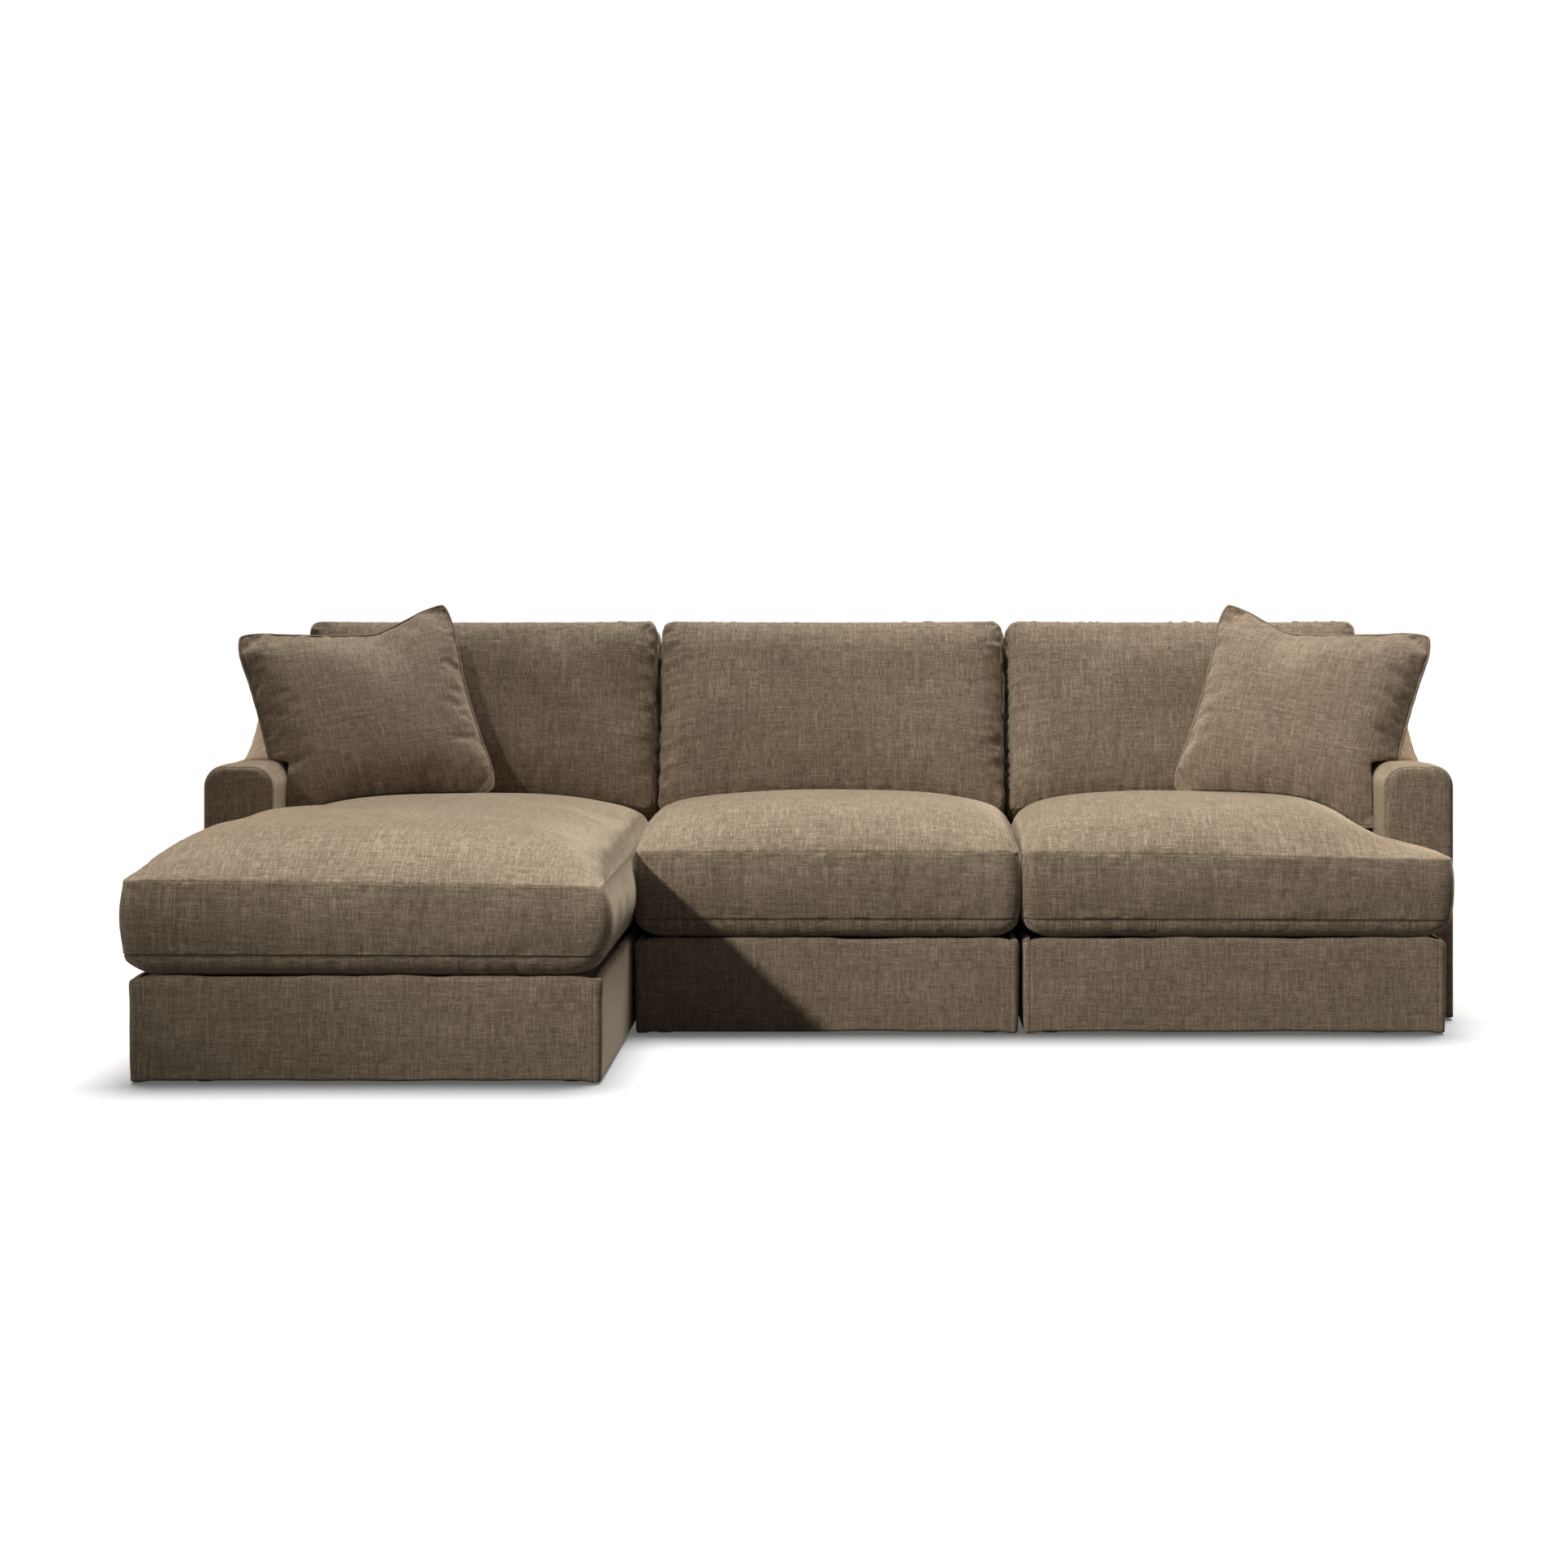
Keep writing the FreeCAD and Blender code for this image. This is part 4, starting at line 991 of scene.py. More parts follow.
    @staticmethod
    def _outline(cells: Array) -> list[tuple[int, int]]:
        """Grid points along the outline of the cells, counter-clockwise."""
        onward: dict[tuple[int, int], tuple[int, int]] = {}
        wide = np.pad(cells, 1)
        for i, j in np.argwhere(cells):
            if not wide[i + 1, j]:
                onward[(i, j)] = (i + 1, j)
            if not wide[i + 2, j + 1]:
                onward[(i + 1, j)] = (i + 1, j + 1)
            if not wide[i + 1, j + 2]:
                onward[(i + 1, j + 1)] = (i, j + 1)
            if not wide[i, j + 1]:
                onward[(i, j + 1)] = (i, j)
        start = min(onward)
        loop, at = [start], onward[start]
        while at != start:
            loop.append(at)
            at = onward[at]
        return loop

    def build(self) -> Piece:
        """Makes the cover's mesh with marks for its seams.

        Returns:
            The cover, in the sofa's frame.
        """
        us, vs = self._lines()
        u, v = np.meshgrid(us, vs, indexing="ij")
        cells = ~self._in_notch((u[:-1, :-1] + u[1:, 1:]) / 2, (v[:-1, :-1] + v[1:, 1:]) / 2)
        x, y = self._plan(u, v)
        far, rise = self._far(u, v), self._rise(u, v)
        top = np.stack([x, y, self.high_seam + self.crown * rise], axis=2)
        top[..., 2] += self._pulls(u, v, far)
        bottom = np.stack([x, y, self.low_seam - self.under * self._sink(u, v)], axis=2)
        quilt = Quilt()
        top_numbers, low_numbers = quilt.add_points(top), quilt.add_points(bottom)
        cloth = np.stack([run_lengths(top, 0), run_lengths(top, 1)], axis=2)
        cloth[..., 0] -= cloth[len(us) // 2, :, 0][None, :]
        cloth[..., 1] -= cloth[:, len(vs) // 2, 1][:, None]
        quilt.add_patch(top_numbers, cloth, cells)
        quilt.add_patch(low_numbers, np.stack([u, v + 3.0], axis=2), cells, flip=True)

        loop = self._outline(cells)
        rim = np.array([[x[k], y[k]] for k in loop])
        onward = np.roll(rim, -1, axis=0) - np.roll(rim, 1, axis=0)
        onward /= np.linalg.norm(onward, axis=1, keepdims=True)
        out = np.column_stack([onward[:, 1], -onward[:, 0]])
        lengths = run_lengths(np.vstack([rim, rim[:1]]), 0)
        depth = self.high_seam - self.low_seam
        shares = graded(0.0, depth, depth / self.border_rows, (0.003, 0.0085)) / depth
        push = np.full(len(rim), self.swell) if self.bulge is None else self.bulge(rim, out)
        rows, marks = [], []
        for t in shares[1:-1]:
            off = push * math.sin(math.pi * t) ** 0.7
            level = np.full(len(rim), self.high_seam - depth * t)
            rows.append(np.column_stack([rim + out * off[:, None], level]))
            marks.append(t)
        middle = quilt.add_points(np.array(rows))
        ends = [np.array([numbers[k] for k in loop]) for numbers in (top_numbers, low_numbers)]
        border = np.vstack([ends[0][None], middle, ends[1][None]])
        border = np.hstack([border, border[:, :1]])
        grid = np.stack(np.broadcast_arrays(lengths[None, :] + 0.37, -depth * shares[:, None] + 1.7), axis=2)
        quilt.add_patch(border, grid)
        local = np.concatenate(quilt.points)
        total = len(local)
        seam, run, away = np.zeros(total), np.zeros(total), np.zeros(total)
        # Seam marks of 1 also give the strongest painted shade in the cloth material.
        seam[ends[0]] = seam[ends[1]] = 1.0
        flat = np.column_stack([x.ravel(), y.ravel()])
        nearest = np.array([np.argmin(((rim - q) ** 2).sum(1)) for q in flat])
        for numbers in (top_numbers, low_numbers):
            run[numbers.ravel()] = lengths[nearest]
            away[numbers.ravel()] = far.ravel()
        for row, t in zip(middle, marks):
            run[row], away[row] = lengths[:-1] + 11.0, depth * min(t, 1 - t)
        under = np.zeros(total, bool)
        under[low_numbers.ravel()] = True
        quilt.points = [self.place(local)]
        obj = quilt.build(self.name)
        kept = quilt.kept
        for name, values in (("seam", seam), ("run", run), ("far", away)):
            set_marks(obj, name, values[kept])
        self.held = (seam[kept] > 0.5) | under[kept]
        ends_of = np.empty(len(obj.data.edges) * 2, int)
        obj.data.edges.foreach_get("vertices", ends_of)
        sharp = (seam[kept] > 0.5)[ends_of.reshape(-1, 2)].all(axis=1)
        crease = obj.data.attributes.new("crease_edge", "FLOAT", "EDGE")
        crease.data.foreach_set("value", sharp.astype(np.float32))
        return obj


@dataclass
class SeatCushion:
    """A loose boxed seat cushion with a high crown; side units' ones have a wing in front of the arm."""

    unit: Unit
    u: tuple[float, float]
    front: float
    notch: tuple[float, float, int] | None = None
    pressed: tuple[bool, bool] = (True, True)
    free_side_bulge: float = 0.0
    seed: int = 3
    hang: float = 0.0

    def _fullness(self, u: Array, v: Array) -> Array:
        """How slowly the crown rises: fuller where a neighbour presses, slower under the back cushion.

        Args:
            u: places across.
            v: places deep.

        Returns:
            The power that the crown's share is raised to.
        """
        power = 0.47 + 0.26 * np.exp(-(np.maximum(v - self.front, 0) / 0.16) ** 2)
        for at, tight in zip(self.u, self.pressed):
            if tight:
                power -= (0.20 * np.exp(-((u - at) / 0.07) ** 2) * smooth((0.50 - v) / 0.2)
                          * smooth((v + 0.30) / 0.2))
        power += 0.30 * np.exp(-((v - SEAT_REAR) / 0.13) ** 2)
        if self.unit is Unit.END:
            power += 0.60 * np.exp(-(np.maximum(1.32 - u, 0) / 0.34) ** 2)
        return power

    def _place(self, local: Array) -> Array:
        """Lets a side unit's seams hang a little towards its right."""
        share = (local[:, 0] - self.u[0]) / (self.u[1] - self.u[0])
        height = np.clip((local[:, 2] - SEAT_FLOOR) / (SEAT_SEAM - SEAT_FLOOR), 0, 1)
        placed = local.copy()
        placed[:, 2] -= self.hang * share * height * smooth((0.3 - local[:, 1]) / 0.4)
        return placed

    def _bulge(self, rim: Array, out: Array) -> Array:
        """How far the border swells.

        Args:
            rim: the outline's places.
            out: the directions in which it swells.

        Returns:
            The swell at each place.
        """
        swell = 0.004 + 0.006 * smooth(-out[:, 1])
        at = self.u[1] if self.unit is Unit.CHAISE else self.u[0]
        side = 1.0 if self.unit is Unit.CHAISE else -1.0
        free = smooth(out[:, 0] * side) * smooth((-0.19 - rim[:, 1]) / 0.10)
        swell += self.free_side_bulge * free * np.exp(-((rim[:, 0] - at) / 0.05) ** 2)
        return swell

    def build(self) -> Piece:
        """Makes the cushion."""
        form = BoxedForm(f"{self.unit.value}_seat_cushion_cover", self.u, (self.front, SEAT_REAR),
                         SEAT_LOW_SEAM, SEAT_SEAM, crown=0.098, under=SEAT_LOW_SEAM - SEAT_FLOOR,
                         place=self._place,
                         notch=self.notch, bulge=self._bulge, fullness=self._fullness, pull=(0.002, 0.005),
                         pulls=0.0030)
        obj = form.build()
        Stuffing(share=0.35, cap=0.010).puff(obj, form.held)
        subdivide(obj)
        sew_seams(obj, pucker=0.0016, wave=0.0016, seed=self.seed)
        points = corners_of(obj)
        points[:, 2] = np.maximum(points[:, 2], SEAT_FLOOR)
        move_corners(obj, points)
        name = self.unit.value
        return settle(obj, f"{name}_seat", "upholstery_fabric", [f"{name}_seat_cushion"])


@dataclass
class BackCushion:
    """A loose boxed back cushion that leans on the inside back and sits on the seat cushion's crown."""

    unit: Unit
    u: tuple[float, float]
    arm_side: int = 0
    seed: int = 21
    height: float = 0.495
    foot: float = 0.3885

    def _place(self, local: Array) -> Array:
        """Leans the cushion back and lets its foot follow the seat's crown."""
        u, v, w = local[:, 0], local[:, 1], local[:, 2]
        mid, half = sum(self.u) / 2, (self.u[1] - self.u[0]) / 2
        crown = 1.0 - 0.72 * np.abs((u - mid) / half) ** 3
        lift = 0.047 * crown * smooth((w - 0.045) / 0.11)
        v = lift + v * (self.height - lift) / self.height
        y = pad_plane(self.foot) + v * math.sin(LEAN) - w * math.cos(LEAN)
        z = self.foot + v * math.cos(LEAN) + w * math.sin(LEAN)
        x = u.copy()
        if self.arm_side:
            rise = arm_top(y)
            limit = ARM_INNER - 0.003 + 0.034 * smooth((z - rise - 0.002) / 0.05)
            x = np.where(x * self.arm_side > 0, np.minimum(np.abs(x), limit) * self.arm_side, x)
        return np.column_stack([x, y, z])

    def build(self, seat: Piece) -> Piece:
        """Makes the cushion.

        Args:
            seat: the seat cushion that it stands on.

        Returns:
            The finished piece.
        """
        form = BoxedForm(f"{self.unit.value}_back_cushion_cover", self.u, (0.0, self.height), 0.004, 0.150,
                         crown=0.046, under=0.0028, place=self._place, corner=0.026, pull=(0.003, 0.003),
                         under_roll=0.02, swell=0.004, step=0.013)
        obj = form.build()
        Stuffing(share=0.45, cap=0.012, slack=0.03).puff(obj, form.held)
        subdivide(obj)
        sew_seams(obj, pucker=0.0032, wave=0.0030, seed=self.seed, reach=0.06)
        clear_of(obj, seat, Vector((0, 0, 1)), 0.0012, lambda p: p[:, 2] < 0.54)
        name = self.unit.value
        return settle(obj, f"{name}_back", "upholstery_fabric", [f"{name}_back_cushion"])


def arm_top(y: Array) -> Array:
    """Height of the arm's top along its length: level, then swept up to the back's height."""
    level, radius, slope = 0.580, 0.420, math.radians(54.99)
    y = np.asarray(y, float)
    sweep = level + radius - np.sqrt(np.maximum(radius ** 2 - np.clip(y - 0.324, 0, 0.344) ** 2, 0))
    end_y, end_z = 0.324 + radius * math.sin(slope), level + radius * (1 - math.cos(slope))
    ramp = end_z + (y - end_y) * math.tan(slope)
    run = 0.038 * math.cos(slope)
    crest_y, crest_r = end_y + run + 0.070 * math.sin(slope), 0.070
    crest = BACK_TOP - crest_r + np.sqrt(np.maximum(crest_r ** 2 - np.clip(crest_y - y, 0, crest_r) ** 2, 0))
    out = np.where(y < end_y, sweep, np.where(y < end_y + run, ramp, crest))
    return np.minimum(out, BACK_TOP)


# Throw pillows


@dataclass
class ThrowPillow:
    """A knife-edge pillow with welt, a chopped top edge and corners like ears."""

    name: str
    side: int
    dent_at: float
    dent: float = 0.052
    half: float = 0.2665
    thick: float = 0.068
    welt: float = 0.0034
    tilt: float = 10.0
    shift: float = 0.0
    seed: int = 41
    cells: int = 52

    def _matrix(self) -> Matrix:
        """Turn, lean and tilt of the pillow about its middle."""
        turn = Matrix.Rotation(math.radians(-17.0 * self.side), 4, "Z")
        lean = Matrix.Rotation(math.radians(63.0), 4, "X")
        tilt = Matrix.Rotation(math.radians(-self.tilt * self.side), 4, "Z")
        return Matrix.Translation((1.108 * self.side + self.shift, 0.372, 0.688)) @ turn @ lean @ tilt

    def _plan(self, a: Array, b: Array) -> tuple[Array, Array]:
        """Plan of the pillow: drawn-in sides, soft corners and the dent in the top edge.

        Args:
            a: places across, -1 to 1.
            b: places up, -1 to 1.

        Returns:
            The places in metres, across and up.
        """
        h = self.half
        x = h * a - 0.019 * np.sign(a) * np.abs(a) ** 3 * (1 - b * b)
        y = h * b - 0.017 * np.sign(b) * np.abs(b) ** 3 * (1 - a * a)
        round_off = 0.021 * (np.abs(a) * np.abs(b)) ** 6
        x, y = x - np.sign(a) * round_off, y - np.sign(b) * round_off
        off = a - self.dent_at
        flank = np.where(off < 0, -off / (1 + self.dent_at), off / (1 - self.dent_at))
        tent = 1.0 - np.sqrt(flank ** 2 + 0.0016) + 0.04 * (1 - flank)
        y -= self.dent * np.clip(tent, 0, 1) * smooth((b + 0.25) / 1.25) ** 1.6
        return x, y

    def build(self, back: Piece, seat: Piece) -> Piece:
        """Makes the pillow with its welt.

        Args:
            back: the back cushion that it leans on.
            seat: the seat cushion that it stands on.

        Returns:
            The pillow.
        """
        line = graded(-1.0, 1.0, 2.0 / self.cells, (0.012, 0.034, 0.068))
        a, b = np.meshgrid(line, line, indexing="ij")
        x, y = self._plan(a, b)
        full = (1 - a * a) * (1 - b * b)
        full = (1 - (1 - np.clip(full, 0, 1)) ** 1.7) ** 0.62
        crease = np.exp(-((a - self.dent_at) / 0.20) ** 2) * smooth((b + 0.1) / 1.1)
        quilt = Quilt()
        sheets = []
        for hand in (1, -1):
            w = hand * self.thick * full * (1 - (0.34 if hand > 0 else 0.15) * crease)
            points = np.stack([x, y, w], axis=2)
            numbers = quilt.add_points(points)
            cloth = np.stack([run_lengths(points, 0), run_lengths(points, 1)], axis=2)
            cloth += 0.0 if hand > 0 else 2.0
            quilt.add_patch(numbers, cloth, flip=hand < 0)
            sheets.append(numbers)
        edge = np.minimum(1 - np.abs(a), 1 - np.abs(b)) * self.half
        along = np.where(np.abs(a) > np.abs(b), b, a + 3.0) * self.half + 2.0 * np.sign(a + b)
        n = len(line)
        obj = quilt.build(self.name + "_cover", weld=1e-5)
        source = quilt.kept % (n * n)
        far, run = edge.ravel()[source], along.ravel()[source]
        # These seam marks also darken the cover's edge as painted shade, under the welt.
        seam = (far < 1e-6).astype(float)
        for key, values in (("seam", seam), ("far", far), ("run", run)):
            set_marks(obj, key, values)
        Stuffing(slack=0.05, share=0.9, cap=0.020, stiffness=12.0).puff(obj, seam > 0.5)
        subdivide(obj)
        sew_seams(obj, pucker=0.0022, wave=0.0020, seed=self.seed, depth=0.0, reach=0.045)
        matrix = np.array(self._matrix())
        points = corners_of(obj) @ matrix[:3, :3].T + matrix[:3, 3]
        move_corners(obj, points)
        clear_of(obj, back, Vector((0, -1, 0)), 0.0015, lambda p: p[:, 1] > 0.25)
        clear_of(obj, seat, Vector((0, 0, 1)), 0.0015, lambda p: p[:, 2] < 0.58)
        points = corners_of(obj)
        beside = (np.abs(points[:, 0]) > ARM_INNER - 0.0015) & (points[:, 2] < arm_top(points[:, 1]) + 0.002)
        points[beside, 0] = (ARM_INNER - 0.0015) * self.side
        move_corners(obj, points)
        join(obj, self._welt(obj))
        return settle(obj, self.name, "pillow_fabric", [self.name])

    def _welt(self, cover: Piece) -> Piece:
        """A covered cord along the pillow's seam."""
        mesh = cover.data
        seam = marks_of(cover, "seam") > 0.9
        onward: dict[int, list[int]] = {}
        for edge in mesh.edges:
            i, j = edge.vertices
            if seam[i] and seam[j]:
                onward.setdefault(i, []).append(j)
                onward.setdefault(j, []).append(i)
        start = next(iter(onward))
        loop, before = [start], -1
        while True:
            following = [k for k in onward[loop[-1]] if k != before]
            before = loop[-1]
            if not following or following[0] == start:
                break
            loop.append(following[0])
        line = corners_of(cover)[loop]
        plane = np.array(self._matrix())[:3, 2]
        onward = np.roll(line, -2, axis=0) - np.roll(line, 2, axis=0)
        out = np.cross(onward, plane)
        out /= np.linalg.norm(out, axis=1, keepdims=True)
        if ((line - line.mean(axis=0)) * out).sum() < 0:
            out = -out
        return tube(self.name + "_welt", line + 0.0028 * out, self.welt, 8)


def tube(name: str, line: Array, radius: float, sides: int) -> Piece:
    """A round covered cord along a line.

    Args:
        name: the new object's name.
        line: points along its middle; the last leads back to the first.
        radius: its radius.
        sides: how many sides its section has.

    Returns:
        The new object.
    """
    onward = np.roll(line, -1, axis=0) - np.roll(line, 1, axis=0)
    onward /= np.linalg.norm(onward, axis=1, keepdims=True)
    across = np.cross(onward[0], [0.31, 0.22, 0.93])
    frames = []
    for way in onward:
        across = across - way * (across @ way)
        across /= np.linalg.norm(across)
        frames.append((across.copy(), np.cross(way, across)))
    turns = np.linspace(0, 2 * math.pi, sides + 1)
    rings = np.array([[p + radius * (math.cos(t) * f + math.sin(t) * g) for t in turns[:-1]]
                      for p, (f, g) in zip(line, frames)])
    quilt = Quilt()
    numbers = quilt.add_points(rings)
    numbers = np.hstack([numbers, numbers[:, :1]])
    numbers = np.vstack([numbers, numbers[:1]])
    length = np.arange(len(numbers)) * np.linalg.norm(np.diff(line, axis=0), axis=1).mean()
    grid = np.stack(np.broadcast_arrays(length[:, None], turns[None, :] * radius), axis=2)
    quilt.add_patch(numbers, grid, flip=True)
    return quilt.build(name)


# Covers of the units


def rounded_path(corners: Sequence[tuple[float, float]], radius: float, step: float, marks: Sequence[float]
                 ) -> tuple[Array, Array, Array, list[float]]:
    """A path through corners with rounded turns and extra points near its marks.

    Args:
        corners: the path's corners.
        radius: radius of the turns.
        step: distance between points.
        marks: distances from each turn's middle at which a seam lies.

    Returns:
        Points, outward normals (on the right of the way), run lengths, and the run length of each turn's
        middle.
    """
    pts = [np.array(c, float) for c in corners]
    dense: list[Array] = []
    turns: list[float] = []
    total = 0.0

    def add(p: Array) -> None:
        """Adds a point and its run length."""
        nonlocal total
        if dense:
            total += float(np.linalg.norm(p - dense[-1]))
        dense.append(p)

    add(pts[0])
    for k in range(1, len(pts)):
        way = (pts[k] - pts[k - 1]) / np.linalg.norm(pts[k] - pts[k - 1])
        last = k == len(pts) - 1
        stop = pts[k] - way * (0 if last else radius)
        start = dense[-1]
        for t in np.linspace(0, 1, max(2, int(np.linalg.norm(stop - start) / 0.001)))[1:]:
            add(start + (stop - start) * t)
        if not last:
            onward = (pts[k + 1] - pts[k]) / np.linalg.norm(pts[k + 1] - pts[k])
            centre = pts[k] - way * radius + onward * radius
            for t in np.linspace(0, math.pi / 2, 14)[1:]:
                add(centre - onward * radius * math.cos(t) + way * radius * math.sin(t))
                if abs(t - math.pi / 4) < 0.07:
                    turns.append(total)
    line = np.array(dense)
    lengths = run_lengths(line, 0)
    beside_seam = (-0.006, -0.003, -0.0014, 0.0, 0.0014, 0.003, 0.006)
    wanted = set(np.round(np.linspace(0, lengths[-1], int(lengths[-1] / step) + 1), 5))
    for turn in turns:
        wanted |= {round(turn + d, 5) for d in np.linspace(-radius, radius, 9)}
        for mark in marks:
            wanted |= {round(turn + mark + d, 5) for d in beside_seam}
    wanted = np.array(sorted(w for w in wanted if 0 <= w <= lengths[-1]))
    wanted = wanted[np.concatenate([[True], np.diff(wanted) > 0.0009])]
    points = np.column_stack([np.interp(wanted, lengths, line[:, k]) for k in range(2)])
    ahead = np.column_stack([np.interp(wanted + 0.002, lengths, line[:, k]) for k in range(2)])
    behind = np.column_stack([np.interp(wanted - 0.002, lengths, line[:, k]) for k in range(2)])
    way = ahead - behind
    way /= np.linalg.norm(way, axis=1, keepdims=True)
    return points, np.column_stack([way[:, 1], -way[:, 0]]), wanted, turns


@dataclass
class BaseSkirt:
    """The padded cover that wraps a unit's base along one side, the front and the other side."""

    unit: Unit
    corners: Sequence[tuple[float, float]]
    seams: Sequence[float]
    seed: int = 60
    turn: float = 0.010

    def build(self) -> Piece:
        """Makes the cover, with its rolled top edge, corner seams and hem."""
        points, out, run, turns = rounded_path(self.corners, self.turn, 0.011, self.seams)
        top, r = DECK_TOP + 0.0015, 0.011
        arc = [(-r + r * math.sin(t), top - r + r * math.cos(t)) for t in np.linspace(0, math.pi / 2, 7)]
        face = [(0.0, z) for z in np.linspace(top - r, 0.016, 22)[1:]]
        hem = [(0.0004, 0.0125), (-0.0006, 0.0098), (-0.0026, 0.0078), (-0.0055, 0.0071), (-0.009, 0.0072),
               (-0.012, 0.0085), (-0.0145, 0.012)]
        inner = [(-0.0155, z) for z in np.linspace(0.02, top - 0.008, 8)]
        inner += [(-0.0152, top - 0.003), (-0.0135, top - 0.0008)]
        section = np.array(arc + face + hem + inner)
        closed = np.vstack([section, section[:1]])
        offset, level = closed[:, 0][None, :], closed[:, 1][None, :]
        outer = smooth((closed[:, 0] + 0.012) / 0.008)[None, :]
        low = smooth((0.05 - level) / 0.045)
        high = smooth((level - 0.15) / 0.05)
        upright = np.clip((level - HEM) / (top - HEM), 0, 1)
        end = np.minimum(run, run[-1] - run)
        near = [np.exp(-((run - t) / 0.022) ** 2) for t in turns]
        corner = np.clip(sum(near), 0, 1)[:, None] if turns else np.zeros((len(run), 1))
        mid = smooth(np.min([np.abs(run - t) for t in turns] + [end], axis=0) / 0.16)[:, None]
        line = np.column_stack([run, np.zeros(len(run))])
        wander = ripple(line, 0.23, self.seed)[:, None]
        fine = ripple(line, 0.06, self.seed + 1)[:, None]
        faces_front = smooth(-out[:, 1:2] * 2)
        push = outer * (0.0012 + 0.0032 * mid * faces_front) * np.sin(math.pi * upright) ** 0.8
        push = push + outer * corner * (0.0022 * high - 0.001 * low)
        push = push + outer * high * 0.0007 * fine
        groove = np.zeros((len(run), 1))
        for t in turns:
            for mark in self.seams:
                groove += (np.abs(run - t - mark) < 0.0008)[:, None]
        groove = np.clip(groove, 0, 1)
        push = push - 0.0012 * groove * outer
        lift = (high * (0.0012 * wander + 0.0008 * fine - 0.0045 * corner)
                - low * (0.0036 * corner + 0.0008 * wander * mid))
        position = np.empty((len(run), closed.shape[0], 3))
        position[..., 0] = points[:, 0:1] + out[:, 0:1] * (offset + push)
        position[..., 1] = points[:, 1:2] + out[:, 1:2] * (offset + push)
        position[..., 2] = level + lift
        quilt = Quilt()
        numbers = quilt.add_points(position[:, :-1])
        numbers = np.hstack([numbers, numbers[:, :1]])
        around = run_lengths(closed, 0)
        grid = np.stack(np.broadcast_arrays(run[:, None], -around[None, :]), axis=2)
        quilt.add_patch(numbers, grid)
        name = self.unit.value
        obj = quilt.build(f"{name}_base_skirt")
        # Seam marks of 0.72 darken the corner seam grooves a little as painted shade.
        set_marks(obj, "seam", 0.72 * (groove * outer[:, :-1]).ravel()[quilt.kept])
        close_ends(obj)
        return settle(obj, f"{name}_unit", "upholstery_fabric",
                      [f"{name}_front_cover", f"{name}_side_covers"])


def close_ends(obj: Piece) -> None:
    """Closes a piece's open rims with a face each and makes all faces point outwards."""
    pick(obj)
    bpy.ops.object.mode_set(mode="EDIT")
    bpy.ops.mesh.select_all(action="DESELECT")
    bpy.ops.mesh.select_mode(type="EDGE")
    bpy.ops.mesh.select_non_manifold(extend=False)
    bpy.ops.mesh.edge_face_add()
    bpy.ops.mesh.select_all(action="SELECT")
    bpy.ops.mesh.normals_make_consistent(inside=False)
    bpy.ops.object.mode_set(mode="OBJECT")


@dataclass
class BackShell:
    """The padded inside back with its rolled top and closed sides, above the base."""

    unit: Unit
    x: tuple[float, float]
    seed: int = 80
    round_edge: float = 0.012

    def build(self) -> Piece:
        """Makes the shell as one section that is swept across the unit with rounded ends."""
        low, top = DECK_TOP + 0.003, BACK_TOP
        front = pad_plane(low)
        roll = 0.022
        angle = math.pi / 2 - LEAN
        centre = (pad_plane(top) + roll * math.tan(angle / 2), top - roll)
        face = [(pad_plane(z), z) for z in np.linspace(low, top - roll - 0.004, 36)]
        arc = [(centre[0] - roll * math.sin(t), centre[1] + roll * math.cos(t))
               for t in np.linspace(angle, 0, 9)]
        flat = [(y, top) for y in np.linspace(centre[0], REAR_COVER - 0.006, 6)[1:]]
        back = [(REAR_COVER - 0.002, top - 0.002), (REAR_COVER, top - 0.007)]
        back += [(REAR_COVER, z) for z in np.linspace(top - 0.02, low, 20)]
        foot = [(y, low) for y in np.linspace(REAR_COVER, front, 12)[1:-1]]
        section = np.array(face + arc + flat + back + foot)
        section[:, 0] = np.minimum(section[:, 0], REAR_COVER)
        way = np.roll(section, -1, axis=0) - np.roll(section, 1, axis=0)
        way /= np.linalg.norm(way, axis=1, keepdims=True)
        inward = np.column_stack([way[:, 1], -way[:, 0]])
        r = self.round_edge
        starts = [(self.x[0] + r * (1 - math.sin(t)), r * (1 - math.cos(t)))
                  for t in np.linspace(math.pi / 2, 0, 5)]
        stops = [(self.x[1] - r * (1 - math.sin(t)), r * (1 - math.cos(t)))
                 for t in np.linspace(0, math.pi / 2, 5)]
        inner = [(x, 0.0) for x in np.linspace(self.x[0] + r, self.x[1] - r, 44)[1:-1]]
        columns = starts + inner + stops
        xs = np.array([c[0] for c in columns])
        insets = np.array([c[1] for c in columns])
        on_top = smooth((section[:, 1] - 0.80) / 0.02)
        position = np.empty((len(xs), len(section), 3))
        wobble = ripple(np.column_stack([xs, xs * 0]), 0.25, self.seed)
        for k, (x, inset) in enumerate(zip(xs, insets)):
            plan = section + inward * inset
            position[k, :, 0] = x
            position[k, :, 1] = plan[:, 0]
            position[k, :, 2] = plan[:, 1] - 0.0016 * on_top * (0.5 + 0.5 * wobble[k])
        quilt = Quilt()
        numbers = quilt.add_points(position)
        numbers = np.hstack([numbers, numbers[:, :1]])
        closed = np.vstack([section, section[:1]])
        around = run_lengths(closed, 0)
        grid = np.stack(np.broadcast_arrays(xs[:, None], around[None, :]), axis=2)
        quilt.add_patch(numbers, grid)
        name = self.unit.value
        obj = quilt.build(f"{name}_back_shell")
        close_ends(obj)
        side_cloth(obj)
        return settle(obj, f"{name}_unit", "upholstery_fabric",
                      [f"{name}_inside_back_pad", f"{name}_side_covers"])


